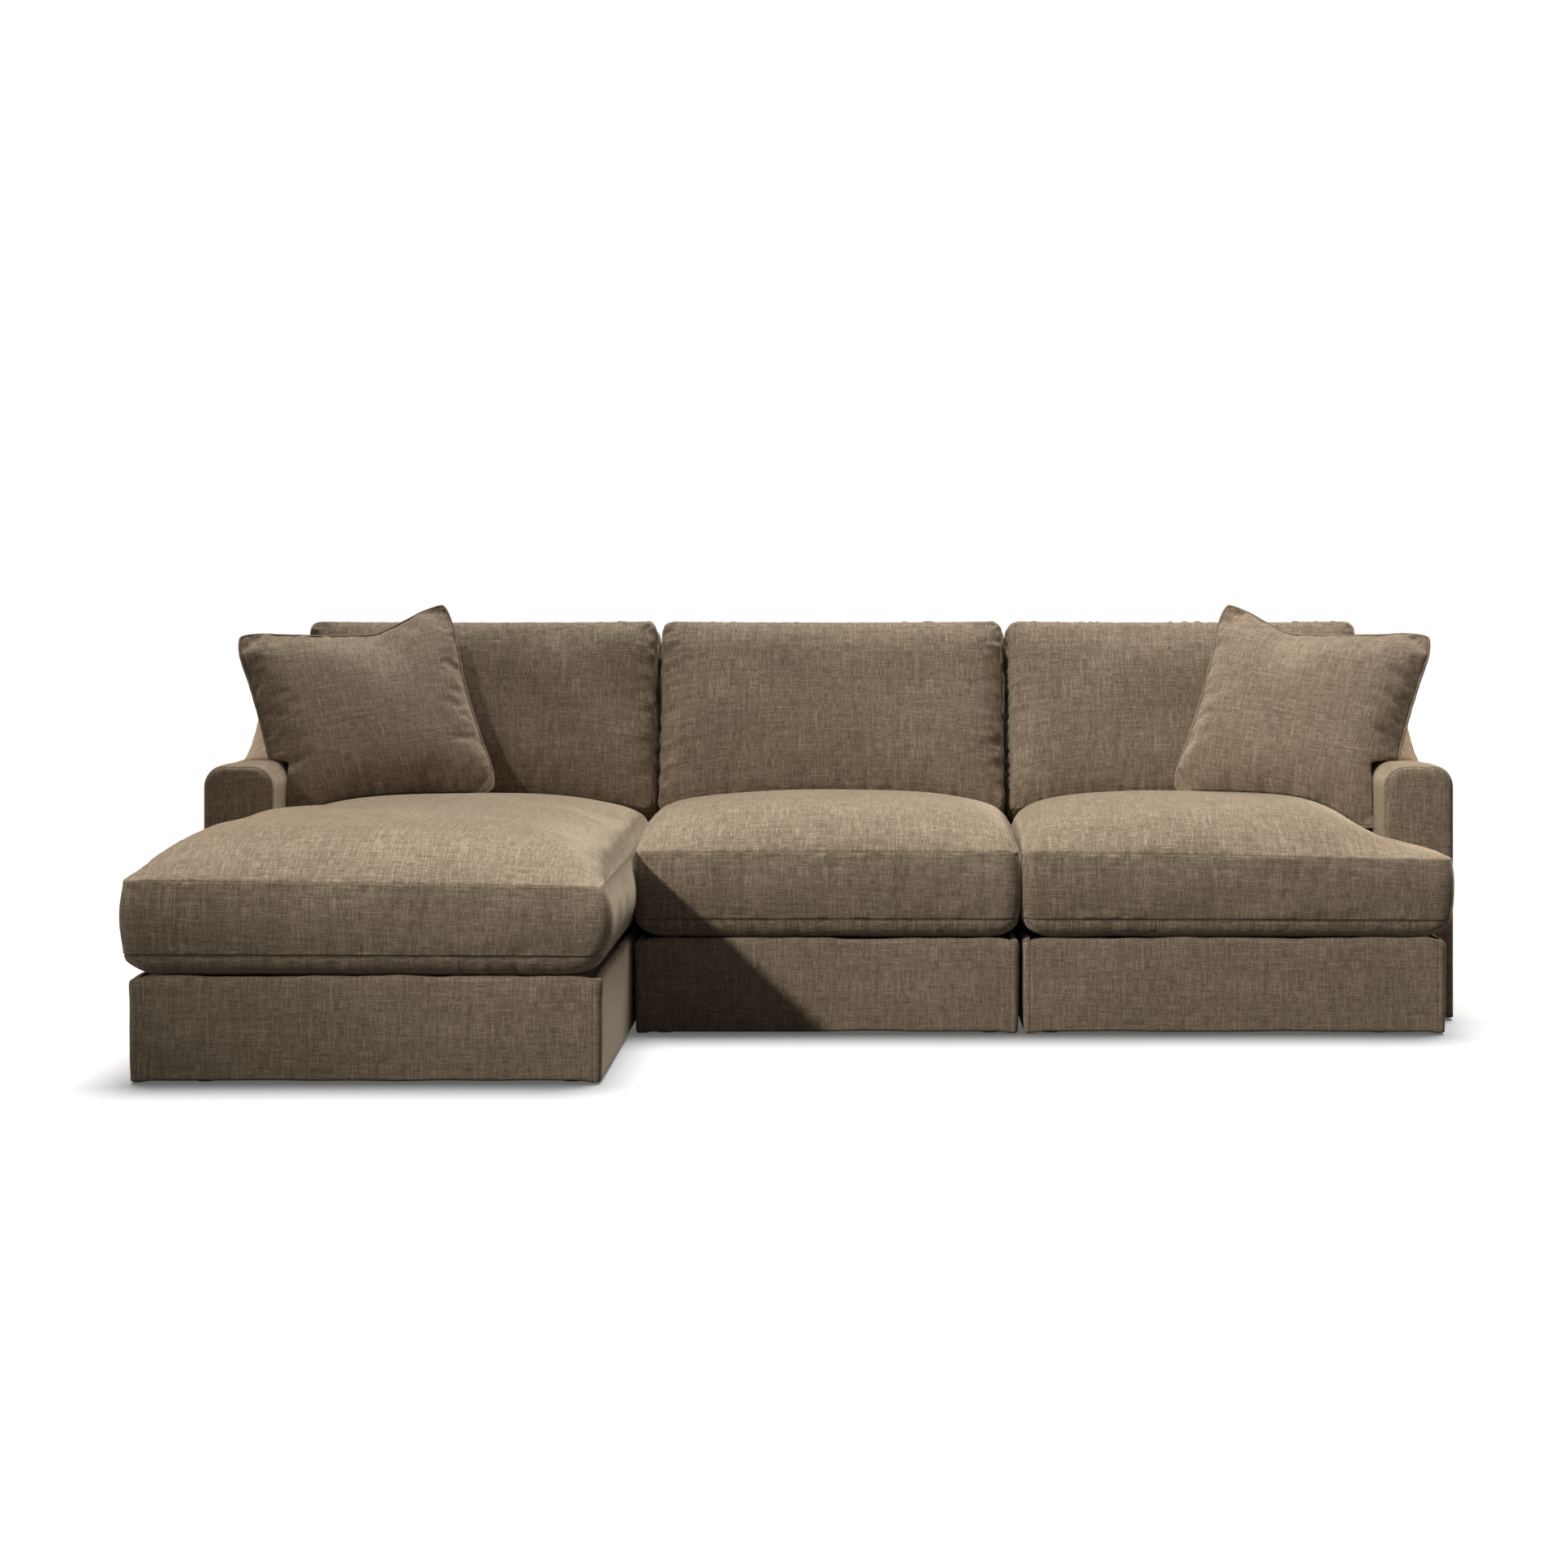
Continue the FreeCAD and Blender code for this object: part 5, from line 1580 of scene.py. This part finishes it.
def side_cloth(obj: Piece) -> None:
    """Gives large flat end faces cloth coordinates of their own, in metres."""
    layer = obj.data.uv_layers["weave"].data
    for face in obj.data.polygons:
        if len(face.vertices) > 4:
            for loop in face.loop_indices:
                p = obj.data.vertices[obj.data.loops[loop].vertex_index].co
                layer[loop].uv = (p.y, p.z)


@dataclass
class OutsideBack:
    """The padded rear panel of a unit, sewn round its edge."""

    unit: Unit
    x: tuple[float, float]
    seed: int = 95

    def build(self) -> Piece:
        """Makes the panel."""
        def place(local: Array) -> Array:
            """Stands the panel up behind the unit, facing back."""
            return np.column_stack([-local[:, 0], REAR_COVER + 0.0005 + local[:, 2], local[:, 1]])

        flip_x = (-self.x[1], -self.x[0])
        form = BoxedForm(f"{self.unit.value}_outside_back", flip_x, (HEM, BACK_TOP - 0.001), 0.003, 0.0095,
                         crown=0.004, under=0.002, place=place, corner=0.012, step=0.018, pull=(0.0, 0.0),
                         under_roll=0.01, border_rows=2, swell=0.0012,
                         fullness=lambda u, v: np.full(u.shape, 0.30))
        obj = form.build()
        subdivide(obj)
        sew_seams(obj, pucker=0.0006, wave=0.0009, seed=self.seed, depth=0.0012, reach=0.05)
        name = self.unit.value
        return settle(obj, f"{name}_unit", "upholstery_fabric", [f"{name}_outside_back_cover"])


@dataclass
class ArmShell:
    """The padded cover of a swept arm, with its sewn front panel."""

    unit: Unit
    side: int
    seed: int = 110
    edge: float = 0.048
    front_roll: float = 0.018

    def _arch(self, top: float, inset: float = 0.0) -> Array:
        """Section of the arm, from its inner foot over the top to its outer foot.

        Args:
            top: height of the arm's top.
            inset: how far the section shrinks towards its middle line.

        Returns:
            The section's points, x and z.
        """
        e = self.edge
        lo, hi = ARM_INNER, ARM_OUTER
        rise = np.linspace(HEM, top - e, 38)
        inner = [(lo, z) for z in rise]
        quarter = np.linspace(0, math.pi / 2, 9)[1:]
        over = [(lo + e - e * math.cos(t), top - e + e * math.sin(t)) for t in quarter]
        flat = [(x, top) for x in np.linspace(lo + e, hi - e, 7)[1:]]
        down = [(hi - e + e * math.sin(t), top - e + e * math.cos(t)) for t in quarter]
        outer = [(hi, z) for z in rise[::-1][1:]]
        line = np.array(inner + over + flat + down + outer)
        if inset:
            half = (hi - lo) / 2
            spine = np.column_stack([np.full(len(line), lo + half), np.minimum(line[:, 1], top - half)])
            line = spine + (line - spine) * (1 - inset / half)
        return line

    def build(self) -> Piece:
        """Makes the shell with a rolled front edge, a seam round the front panel and the swept top."""
        r = self.front_roll
        half = (ARM_OUTER - ARM_INNER) / 2
        ys = np.concatenate([np.linspace(ARM_FRONT + r, 0.31, 22), np.linspace(0.322, 0.76, 46),
                             np.linspace(0.771, REAR_COVER - 0.0005, 7)])
        tops = arm_top(ys)
        body = np.array([self._arch(t) for t in tops])
        seam_inset = 0.005
        insets = [half, half - 0.012, half - 0.028, 0.036, 0.028, 0.021, 0.0145, 0.0105, 0.0075, 0.0062,
                  seam_inset, 0.0038, 0.0025, 0.001]
        rings, depths, grooves = [], [], []
        for inset in insets:
            rings.append(self._arch(float(tops[0]), inset))
            if inset < r:
                depths.append(ARM_FRONT + r - math.sqrt(max(0.0, r * r - (r - inset) ** 2)))
            else:
                depths.append(ARM_FRONT - 0.0022 * math.sin(math.pi / 2 * (inset - r) / (half - r)))
            grooves.append(1.0 if inset == seam_inset else 0.0)
        section = np.concatenate([np.array(rings), body])
        along = np.concatenate([depths, ys])
        points = np.empty((*section.shape[:2], 3))
        points[..., 0] = section[..., 0]
        points[..., 1] = along[:, None]
        points[..., 2] = section[..., 1]
        groove = np.concatenate([grooves, np.zeros(len(ys))])[:, None] * np.ones(section.shape[1])[None, :]
        fold = np.exp(-((points[..., 0] - ARM_INNER - 0.031) / 0.0016) ** 2)
        fold *= points[..., 1] < ARM_FRONT + 0.004
        fold *= smooth((tops[0] - 0.030 - points[..., 2]) / 0.02) * (points[..., 2] > 0.1)
        points[..., 1] += 0.0014 * groove + 0.0010 * fold
        flat = points.reshape(-1, 3)
        inside = np.minimum(points[..., 0] - ARM_INNER, ARM_OUTER - points[..., 0])
        calm = smooth((inside + 0.002) / 0.03)
        loose = ripple(flat * np.array([1.0, 1.0, 0.5]), 0.16, self.seed).reshape(points.shape[:2])
        upper = smooth((points[..., 2] - 0.3) / 0.2)
        points[..., 2] += 0.0014 * loose * calm * upper * (points[..., 1] > ARM_FRONT + r)
        swing = np.exp(-((points[..., 1] - 0.50) / 0.12) ** 2)
        pulls = ripple(np.column_stack([flat[:, 1], flat[:, 1] * 0]), 0.035, self.seed + 2)
        outward = points[..., 0] > (ARM_INNER + ARM_OUTER) / 2
        points[..., 0] += 0.0011 * swing * pulls.reshape(points.shape[:2]) * outward * upper
        points[..., 0] *= self.side
        quilt = Quilt()
        numbers = quilt.add_points(points)
        cloth = np.stack([run_lengths(points, 1), np.broadcast_to(run_lengths(points, 0)[:, 40:41] * -1.0,
                                                                  points.shape[:2])], axis=2)
        front = np.stack([points[..., 0], points[..., 2]], axis=2)
        cut = len(insets)
        quilt.add_patch(numbers[: cut - 3], front[: cut - 3], flip=self.side > 0)
        quilt.add_patch(numbers[cut - 4:], cloth[cut - 4:], flip=self.side > 0)
        name = self.unit.value
        obj = quilt.build(f"{name}_arm_shell", weld=2e-6)
        # Seam marks of 0.85 darken the front panel's seam groove as painted shade; the fold's marks, at most
        # 0.5, stay unshaded.
        set_marks(obj, "seam", (0.85 * groove.ravel() + fold.ravel() * 0.5)[quilt.kept])
        apply_modifier(obj, "SOLIDIFY", thickness=0.005, offset=-1.0, use_rim=True)
        obj.data.shade_smooth()
        return settle(obj, f"{name}_unit", "upholstery_fabric", [f"{name}_arm_cover"])


@dataclass
class SeatDeck:
    """The platform under a seat cushion: wadding under plain deck cloth."""

    unit: Unit
    u: tuple[float, float]
    v: tuple[float, float]
    notch: tuple[float, float, int] | None = None

    def build(self) -> Piece:
        """Makes the platform."""
        form = BoxedForm(f"{self.unit.value}_seat_deck", self.u, self.v, 0.1955, 0.2055, crown=0.0042,
                         under=0.0025, place=lambda p: p, notch=self.notch, corner=0.006, step=0.022,
                         pull=(0.0, 0.0), under_roll=0.01, border_rows=2, swell=0.001,
                         fullness=lambda u, v: np.full(u.shape, 0.3))
        obj = form.build()
        sew_seams(obj, pucker=0.0003, wave=0.0006, seed=130, depth=0.0005)
        points = corners_of(obj)
        points[:, 2] = np.clip(points[:, 2], 0.1925, DECK_TOP)
        move_corners(obj, points)
        name = self.unit.value
        return settle(obj, f"{name}_unit", "deck_cloth", [f"{name}_deck_pad"])


@dataclass
class DustSheet:
    """Thin black cloth stapled under a unit's rails, sagging a little between them."""

    unit: Unit
    x: tuple[float, float]
    y: tuple[float, float]
    notch: tuple[float, float, int] | None = None

    def build(self) -> Piece:
        """Makes the sheet and its staples."""
        xs = graded(self.x[0], self.x[1], 0.03, ())
        ys = graded(self.y[0], self.y[1], 0.03, ())
        if self.notch:
            xs, ys = np.unique(np.append(xs, self.notch[0])), np.unique(np.append(ys, self.notch[1]))
        u, v = np.meshgrid(xs, ys, indexing="ij")
        far = np.minimum(np.minimum(u - self.x[0], self.x[1] - u), np.minimum(v - self.y[0], self.y[1] - v))
        cells = np.ones((len(xs) - 1, len(ys) - 1), bool)
        area = (self.x[1] - self.x[0]) * (self.y[1] - self.y[0])
        if self.notch:
            at_u, at_v, side = self.notch
            far = np.minimum(far, np.hypot(np.maximum(0, (at_u - u) * side), np.maximum(0, at_v - v)))
            mid_u, mid_v = (u[:-1, :-1] + u[1:, 1:]) / 2, (v[:-1, :-1] + v[1:, 1:]) / 2
            cells = ~(((mid_u - at_u) * side > 0) & (mid_v > at_v))
            area -= abs((self.x[1] if side > 0 else self.x[0]) - at_u) * (self.y[1] - at_v)
        sag = 0.0035 * smooth((far - 0.075) / 0.16)
        wave = ripple(np.column_stack([u.ravel(), v.ravel()]), 0.2, 140).reshape(u.shape)
        points = np.stack([u, v, 0.0245 - sag * (1 + 0.25 * wave)], axis=2)
        quilt = Quilt()
        quilt.add_patch(quilt.add_points(points), np.stack([u, v], axis=2), cells)
        name = self.unit.value
        obj = quilt.build(f"{name}_dust_sheet")
        apply_modifier(obj, "SOLIDIFY", thickness=0.0007, offset=0.0, use_rim=True)
        settle(obj, f"{name}_unit", "dust_cloth", [f"{name}_dust_cover"])
        staples = self._staples(xs, ys)
        return obj

    def _staples(self, xs: Array, ys: Array) -> Piece:
        """A row of wire staples round the sheet's edge, one shape copied.

        Args:
            xs: the sheet's places across; not used.
            ys: the sheet's places deep; not used.

        Returns:
            The staples as one piece.
        """
        spots: list[tuple[float, float, float]] = []
        inset = 0.009
        for x in np.arange(self.x[0] + 0.03, self.x[1] - 0.02, 0.09):
            spots.append((x, self.y[0] + inset, 0.0))
            if not (self.notch and (x - self.notch[0]) * self.notch[2] > -0.01):
                spots.append((x, self.y[1] - inset, 0.0))
        for y in np.arange(self.y[0] + 0.05, self.y[1] - 0.03, 0.09):
            for hand, x in ((-1, self.x[0]), (1, self.x[1])):
                if self.notch and hand == self.notch[2] and y > self.notch[1] - 0.01:
                    x = self.notch[0]
                spots.append((x - hand * inset, y, math.pi / 2))
        staple = self._staple()
        staples = copies(staple, f"{self.unit.value}_dust_staples",
                         [Matrix.Translation((x, y, 0.0))
                          @ Matrix.Rotation(turn + 0.12 * math.sin(37.0 * x + 51.0 * y), 4, "Z")
                          for x, y, turn in spots])
        return settle(staples, f"{self.unit.value}_unit", "clip_steel")

    def _staple(self) -> Piece:
        """One wire staple: a flat crown whose two legs go up through the cloth."""
        deselect_all()
        bpy.ops.mesh.primitive_cube_add(size=1.0, location=(0.0, 0.0, 0.0234), scale=(0.011, 0.0009, 0.0009))
        bpy.ops.object.transform_apply(location=True, rotation=True, scale=True)
        staple = bpy.context.object
        bpy.ops.object.mode_set(mode="EDIT")
        bpy.ops.mesh.subdivide(number_cuts=1)
        bpy.ops.object.mode_set(mode="OBJECT")
        choose_faces(staple, lambda f: f.normal.z > 0.9 and abs(f.center.x) > 0.002 and f.center.y > 0.0)
        bpy.ops.object.mode_set(mode="EDIT")
        bpy.ops.mesh.extrude_region_move(TRANSFORM_OT_translate={"value": (0.0, 0.0, 0.0008)})
        bpy.ops.object.mode_set(mode="OBJECT")
        return staple


@dataclass
class SeatSprings:
    """Zigzag wire springs of one seat, redrawn with fewer faces along the same lines."""

    unit: Unit
    starts: Sequence[tuple[float, float]]
    ends: Sequence[tuple[float, float]]
    level: float = 0.188
    pitch: float = 0.044
    width: float = 0.074
    spacing: float = 0.150
    wire: float = 0.002

    def build(self) -> Piece:
        """Makes all springs of the seat as one piece."""
        first = np.array(self.starts[0])
        wire = self._spring(first, np.array(self.ends[0]))
        name = self.unit.value
        moves = [Matrix.Translation((*(np.array(a) - first), 0.0)) for a in self.starts]
        obj = copies(wire, f"{name}_zigzag_springs", moves)
        obj.data.shade_smooth()
        return settle(obj, f"{name}_unit", "spring_steel", [f"{name}_seat_springs"])

    def _spring(self, start: Array, end: Array) -> Piece:
        """One zigzag wire: a ring pushed along the legs and spun round the bends.

        Args:
            start: the middle of the first leg.
            end: the middle of the last leg.

        Returns:
            The wire.
        """
        run = end - start
        length = float(np.linalg.norm(run))
        steps = max(2, round(length / self.pitch))
        pitch = length / steps
        along = Vector((*(run / length), 0.0))
        side = Vector((-along.y, along.x, 0.0))
        reach = self.width / 2 - pitch / 2
        first = Vector((*start, self.level)) - side * reach
        deselect_all()
        bpy.ops.mesh.primitive_circle_add(vertices=6, radius=self.wire, fill_type="NGON", location=first,
                                          rotation=side.to_track_quat("Z", "X").to_euler())
        bpy.ops.object.transform_apply(location=True, rotation=True, scale=True)
        bpy.ops.object.mode_set(mode="EDIT")
        for k in range(steps + 1):
            hand = 1 if k % 2 == 0 else -1
            bpy.ops.mesh.extrude_region_move(TRANSFORM_OT_translate={"value": side * (2 * reach * hand)})
            if k < steps:
                middle = Vector((*start, self.level)) + along * (pitch * (k + 0.5)) + side * (reach * hand)
                bpy.ops.mesh.spin(steps=8, angle=math.pi * hand, center=middle, axis=(0.0, 0.0, -1.0))
        bpy.ops.object.mode_set(mode="OBJECT")
        return tidy_shell(bpy.context.object)


@dataclass
class Zipper:
    """A zipper along the rear border of a cushion: teeth and a slider with its pull."""

    body: str
    name: str
    line: Sequence[tuple[float, float, float]]
    out: Vector
    pitch: float = 0.004

    def build(self) -> None:
        """Makes the teeth and the slider."""
        a, b = (Vector(p) for p in self.line)
        along = (b - a).normalized()
        across = self.out.cross(along).normalized()
        turn = Matrix((along, across, self.out)).transposed().to_4x4()
        tooth = self._block("tooth", (0.0022, 0.0042, 0.0018), 0.0004)
        moves = []
        for k in range(int((b - a).length / self.pitch)):
            hand = 1 if k % 2 else -1
            middle = a + along * (self.pitch * (k + 0.5)) + across * (0.0009 * hand)
            moves.append(Matrix.Translation(middle) @ turn)
        teeth = copies(tooth, self.name, moves)
        slider = self._block("slider", (0.012, 0.0084, 0.0032), 0.0009)
        slider.data.transform(Matrix.Translation(a + along * 0.010 + self.out * 0.001) @ turn)
        pull = self._block("pull", (0.022, 0.0048, 0.0010), 0.0003)
        pull.data.transform(Matrix.Translation(a + along * 0.026 + self.out * 0.002) @ turn)
        settle(join(teeth, slider, pull), self.body, "foot_plastic")

    def _block(self, name: str, size: tuple[float, float, float], round_off: float) -> Piece:
        """A small moulded block with broken edges at the origin.

        Args:
            name: the block's name.
            size: its sides.
            round_off: how far its edges are broken.

        Returns:
            The block.
        """
        deselect_all()
        bpy.ops.mesh.primitive_cube_add(size=1.0, scale=size)
        bpy.ops.object.transform_apply(location=True, rotation=True, scale=True)
        obj = bpy.context.object
        obj.name = name
        bpy.ops.object.mode_set(mode="EDIT")
        bpy.ops.mesh.select_all(action="SELECT")
        bpy.ops.mesh.bevel(offset=round_off, segments=1, affect="EDGES")
        bpy.ops.object.mode_set(mode="OBJECT")
        return obj


# Studio


def lay_nodes(tree: bpy.types.NodeTree, kinds: Sequence[str]) -> list[bpy.types.Node]:
    """Empties a node tree and adds one node of each kind."""
    tree.nodes.clear()
    return [tree.nodes.new("ShaderNode" + kind) for kind in kinds]


@dataclass
class Studio:
    """Camera, pale floor, background and lamps."""

    key: float = 6000.0
    key_distance: float = 14.0
    rim: float = 14.0
    top: float = 3.9
    side: float = 0.12
    ambient: float = 0.12

    def build(self) -> None:
        """Makes everything round the sofa."""
        self._camera()
        self._floor()
        self._world()
        way, target = Vector((1.3, 1.1, -1.0)), Vector((1.15, -0.4, 0.28))
        place = target - way.normalized() * self.key_distance
        key = self._lamp("SPOT", "key_lamp", way, place, energy=self.key, color=(1.0, 0.95, 0.87),
                         shadow_soft_size=0.32, spot_size=math.radians(20.4), spot_blend=1.0)
        fill = self._lamp("SUN", "side_lamp", Vector((-1.0, -0.55, -0.5)), energy=self.side,
                          angle=math.radians(22.0), color=(1.0, 0.92, 0.80))
        self._lamp("SUN", "top_lamp", Vector((-0.05, -0.26, -1.0)), energy=self.top, angle=math.radians(34.0),
                   color=(1.0, 0.97, 0.90))
        rims = []
        for side in (-1, 1):
            place = Vector((2.6 * side, 1.15, 0.60))
            towards = Vector((1.35 * side, 0.35, 0.6)) - place
            rims.append(self._lamp("AREA", "rim_lamp", towards, place, energy=self.rim,
                                   color=(1.0, 0.64, 0.40), size=0.5))
        self._spare_floor(key, fill, *rims)
        bpy.context.scene.view_settings.view_transform = "Standard"

    def _camera(self) -> None:
        """The photograph's camera: level, with shift."""
        camera = bpy.data.cameras.new("camera")
        camera.sensor_width, camera.lens = 36.0, 64.99
        camera.shift_x, camera.shift_y = -0.0569, -0.1063
        camera.clip_start, camera.clip_end = 0.1, 60.0
        obj = bpy.data.objects.new("camera", camera)
        obj.location, obj.rotation_euler = (0.1016, -6.3868, 0.9165), (math.pi / 2, 0.0, 0.0)
        bpy.context.scene.collection.objects.link(obj)
        bpy.context.scene.camera = obj

    def _floor(self) -> None:
        """A pale floor that shows white where nothing shades it."""
        deselect_all()
        bpy.ops.mesh.primitive_plane_add(size=60.0, location=(0, 0, 0))
        floor = bpy.context.object
        floor.name = "floor"
        material = bpy.data.materials.new("pale_floor")
        material.use_nodes = True
        tree = material.node_tree
        path, pale, dim, glow, lit, mix, out, seen = lay_nodes(tree, (
            "LightPath", "BsdfDiffuse", "BsdfDiffuse", "Emission", "MixShader", "MixShader", "OutputMaterial",
            "Math"))
        pale.inputs[0].default_value = (0.87, 0.90, 0.96, 1.0)
        dim.inputs[0].default_value = (0.07, 0.07, 0.07, 1.0)
        glow.inputs[0].default_value, glow.inputs[1].default_value = (1.0, 1.0, 1.0, 1.0), 1.15
        lit.inputs[0].default_value = 0.10
        seen.operation = "MAXIMUM"
        for source, target in ((path.outputs["Is Camera Ray"], seen.inputs[0]),
                               (path.outputs["Is Glossy Ray"], seen.inputs[1]),
                               (seen.outputs[0], mix.inputs[0]),
                               (pale.outputs[0], lit.inputs[1]),
                               (glow.outputs[0], lit.inputs[2]),
                               (dim.outputs[0], mix.inputs[1]),
                               (lit.outputs[0], mix.inputs[2]),
                               (mix.outputs[0], out.inputs[0])):
            tree.links.new(source, target)
        floor.data.materials.append(material)

    def _world(self) -> None:
        """White behind the sofa and a soft even light from all round."""
        world = bpy.data.worlds.new("studio")
        bpy.context.scene.world = world
        world.use_nodes = True
        tree = world.node_tree
        path, soft, white, mix, out, seen = lay_nodes(tree, (
            "LightPath", "Background", "Background", "MixShader", "OutputWorld", "Math"))
        soft.inputs[0].default_value, soft.inputs[1].default_value = (1.0, 0.97, 0.93, 1.0), self.ambient
        white.inputs[0].default_value, white.inputs[1].default_value = (1.0, 1.0, 1.0, 1.0), 1.0
        seen.operation = "MAXIMUM"
        for source, target in ((path.outputs["Is Camera Ray"], seen.inputs[0]),
                               (path.outputs["Is Transmission Ray"], seen.inputs[1]),
                               (seen.outputs[0], mix.inputs[0]),
                               (soft.outputs[0], mix.inputs[1]),
                               (white.outputs[0], mix.inputs[2]),
                               (mix.outputs[0], out.inputs[0])):
            tree.links.new(source, target)

    def _spare_floor(self, *lamps: Piece) -> None:
        """Keeps lamps off the floor, which then shows the soft shadow of the top lamp alone."""
        spared = bpy.data.collections.new("spared")
        spared.objects.link(bpy.data.objects["floor"])
        spared.collection_objects[0].light_linking.link_state = "EXCLUDE"
        for lamp in lamps:
            lamp.light_linking.receiver_collection = spared

    def _lamp(self, kind: str, name: str, way: Vector, place: Sequence[float] = (0.0, 0.0, 0.0),
              **settings: object) -> Piece:
        """A lamp.

        Args:
            kind: its type.
            name: its name.
            way: the direction in which its light travels.
            place: where it stands, which makes no difference to a sun.
            settings: its other settings.

        Returns:
            The lamp.
        """
        lamp = bpy.data.lights.new(name, kind)
        for key, value in settings.items():
            setattr(lamp, key, value)
        obj = bpy.data.objects.new(name, lamp)
        obj.location, obj.rotation_euler = place, way.to_track_quat("-Z", "Y").to_euler()
        bpy.context.scene.collection.objects.link(obj)
        return obj


# The sofa


@dataclass
class Sofa:
    """All pieces of the sofa, built unit by unit."""

    seats: dict[Unit, Piece] = field(default_factory=dict)
    backs: dict[Unit, Piece] = field(default_factory=dict)

    def build(self) -> None:
        """Builds every piece."""
        self._cushions()
        self._covers()
        self._platforms()
        self._springs()
        self._pillows()
        self._zippers()
        self._frame_finishes()

    def _cushions(self) -> None:
        """Seat and back cushions."""
        seats = [
            SeatCushion(Unit.CHAISE, (-1.374, -0.4285), -0.850, (-1.2625, 0.036, -1), (False, True), 0.016, 3,
                        0.013),
            SeatCushion(Unit.MIDDLE, (-0.4235, 0.4235), -0.190, None, (True, True), 0.0, 5),
            SeatCushion(Unit.END, (0.4285, 1.374), -0.190, (1.2625, 0.036, 1), (True, False), 0.0, 7, 0.014),
        ]
        for seat in seats:
            self.seats[seat.unit] = seat.build()
        backs = [
            BackCushion(Unit.CHAISE, (-1.292, -0.4345), -1, 21),
            BackCushion(Unit.MIDDLE, (-0.4185, 0.4185), 0, 23),
            BackCushion(Unit.END, (0.4345, 1.292), 1, 25),
        ]
        for back in backs:
            self.backs[back.unit] = back.build(self.seats[back.unit])

    def _covers(self) -> None:
        """Base skirts, back shells, outside backs and arms."""
        o, i, m = BASE_OUTER, 0.432, 0.420
        rear, arm, front, chaise_front = REAR_COVER, ARM_FRONT - 0.001, -0.176, -0.836
        seams = (-0.0135, 0.0135)
        for unit, corners, seed in (
                (Unit.CHAISE, [(-o, arm), (-o, chaise_front), (-i, chaise_front), (-i, rear)], 60),
                (Unit.MIDDLE, [(-m, rear), (-m, front), (m, front), (m, rear)], 62),
                (Unit.END, [(i, rear), (i, front), (o, front), (o, arm)], 64)):
            BaseSkirt(unit, corners, seams, seed).build()
        for unit, x in ((Unit.CHAISE, (-ARM_INNER, -i)), (Unit.MIDDLE, (-m, m)), (Unit.END, (i, ARM_INNER))):
            BackShell(unit, x, 80 + len(unit.value)).build()
        for unit, x in ((Unit.CHAISE, (-ARM_OUTER, -i)), (Unit.MIDDLE, (-m, m)), (Unit.END, (i, ARM_OUTER))):
            OutsideBack(unit, x, 95 + len(unit.value)).build()
        ArmShell(Unit.CHAISE, -1, 110).build()
        ArmShell(Unit.END, 1, 114).build()

    def _platforms(self) -> None:
        """Seat decks and dust sheets."""
        for unit in Unit:
            deck_low, deck_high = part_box(f"{unit.value}_deck_pad")
            dust_low, dust_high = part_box(f"{unit.value}_dust_cover")
            side = {Unit.CHAISE: -1, Unit.MIDDLE: 0, Unit.END: 1}[unit]
            notch = (ARM_INNER * side, ARM_FRONT, side) if side else None
            SeatDeck(unit, (deck_low.x, deck_high.x), (deck_low.y, deck_high.y - 0.001), notch).build()
            DustSheet(unit, (dust_low.x, dust_high.x), (dust_low.y, dust_high.y), notch).build()

    def _springs(self) -> None:
        """Zigzag springs: across the chaise, front to back in the other seats."""
        edge, width = SeatSprings.wire, SeatSprings.width
        for unit in Unit:
            low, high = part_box(f"{unit.value}_seat_springs")
            row = 1 if unit is Unit.CHAISE else 0
            count = round((high[row] - low[row] - 2 * edge - width) / SeatSprings.spacing) + 1
            places = np.linspace(low[row] + edge + width / 2, high[row] - edge - width / 2, count)
            starts, ends = ([(end, place) if row else (place, end) for place in places]
                            for end in (low[1 - row] + edge, high[1 - row] - edge))
            SeatSprings(unit, starts, ends).build()

    def _pillows(self) -> None:
        """Both throw pillows."""
        left = ThrowPillow("left_pillow", -1, 0.26, seed=41)
        left.build(self.backs[Unit.CHAISE], self.seats[Unit.CHAISE])
        right = ThrowPillow("right_pillow", 1, -0.32, seed=47, shift=0.018)
        right.build(self.backs[Unit.END], self.seats[Unit.END])

    def _zippers(self) -> None:
        """Zippers on the rear borders of the seat cushions."""
        for unit, middle in ((Unit.CHAISE, -0.85), (Unit.MIDDLE, 0.0), (Unit.END, 0.85)):
            ends = [(middle + half, 0.5815, 0.33) for half in (-0.35, 0.35)]
            Zipper(f"{unit.value}_seat", f"{unit.value}_seat_zipper", ends, Vector((0, 1, 0))).build()

    def _frame_finishes(self) -> None:
        """Finishes for the frame parts that keep their own solids."""
        slots = {part["node"]: part["material_slot"] for part in frame["record"]["subparts"]}
        deep = PlanedWood("planed_softwood_deep", (0.56, 0.37, 0.19), (14.0, 1.2, 14.0)).material()
        for name, node in frame["nodes"].items():
            if node.hide_render:
                continue
            material = material_for(slots[name])
            if slots[name] == "frame_wood" and "side_rails" in name:
                material = deep
            node.data.materials.clear()
            node.data.materials.append(material)
            LOG.info("%s: %s", name, material.name)


def main() -> None:
    """Builds the studio and the sofa."""
    logging.basicConfig(level=logging.INFO, format="%(message)s")
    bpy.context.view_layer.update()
    Studio().build()
    Sofa().build()


if __name__ == "__main__":
    main()
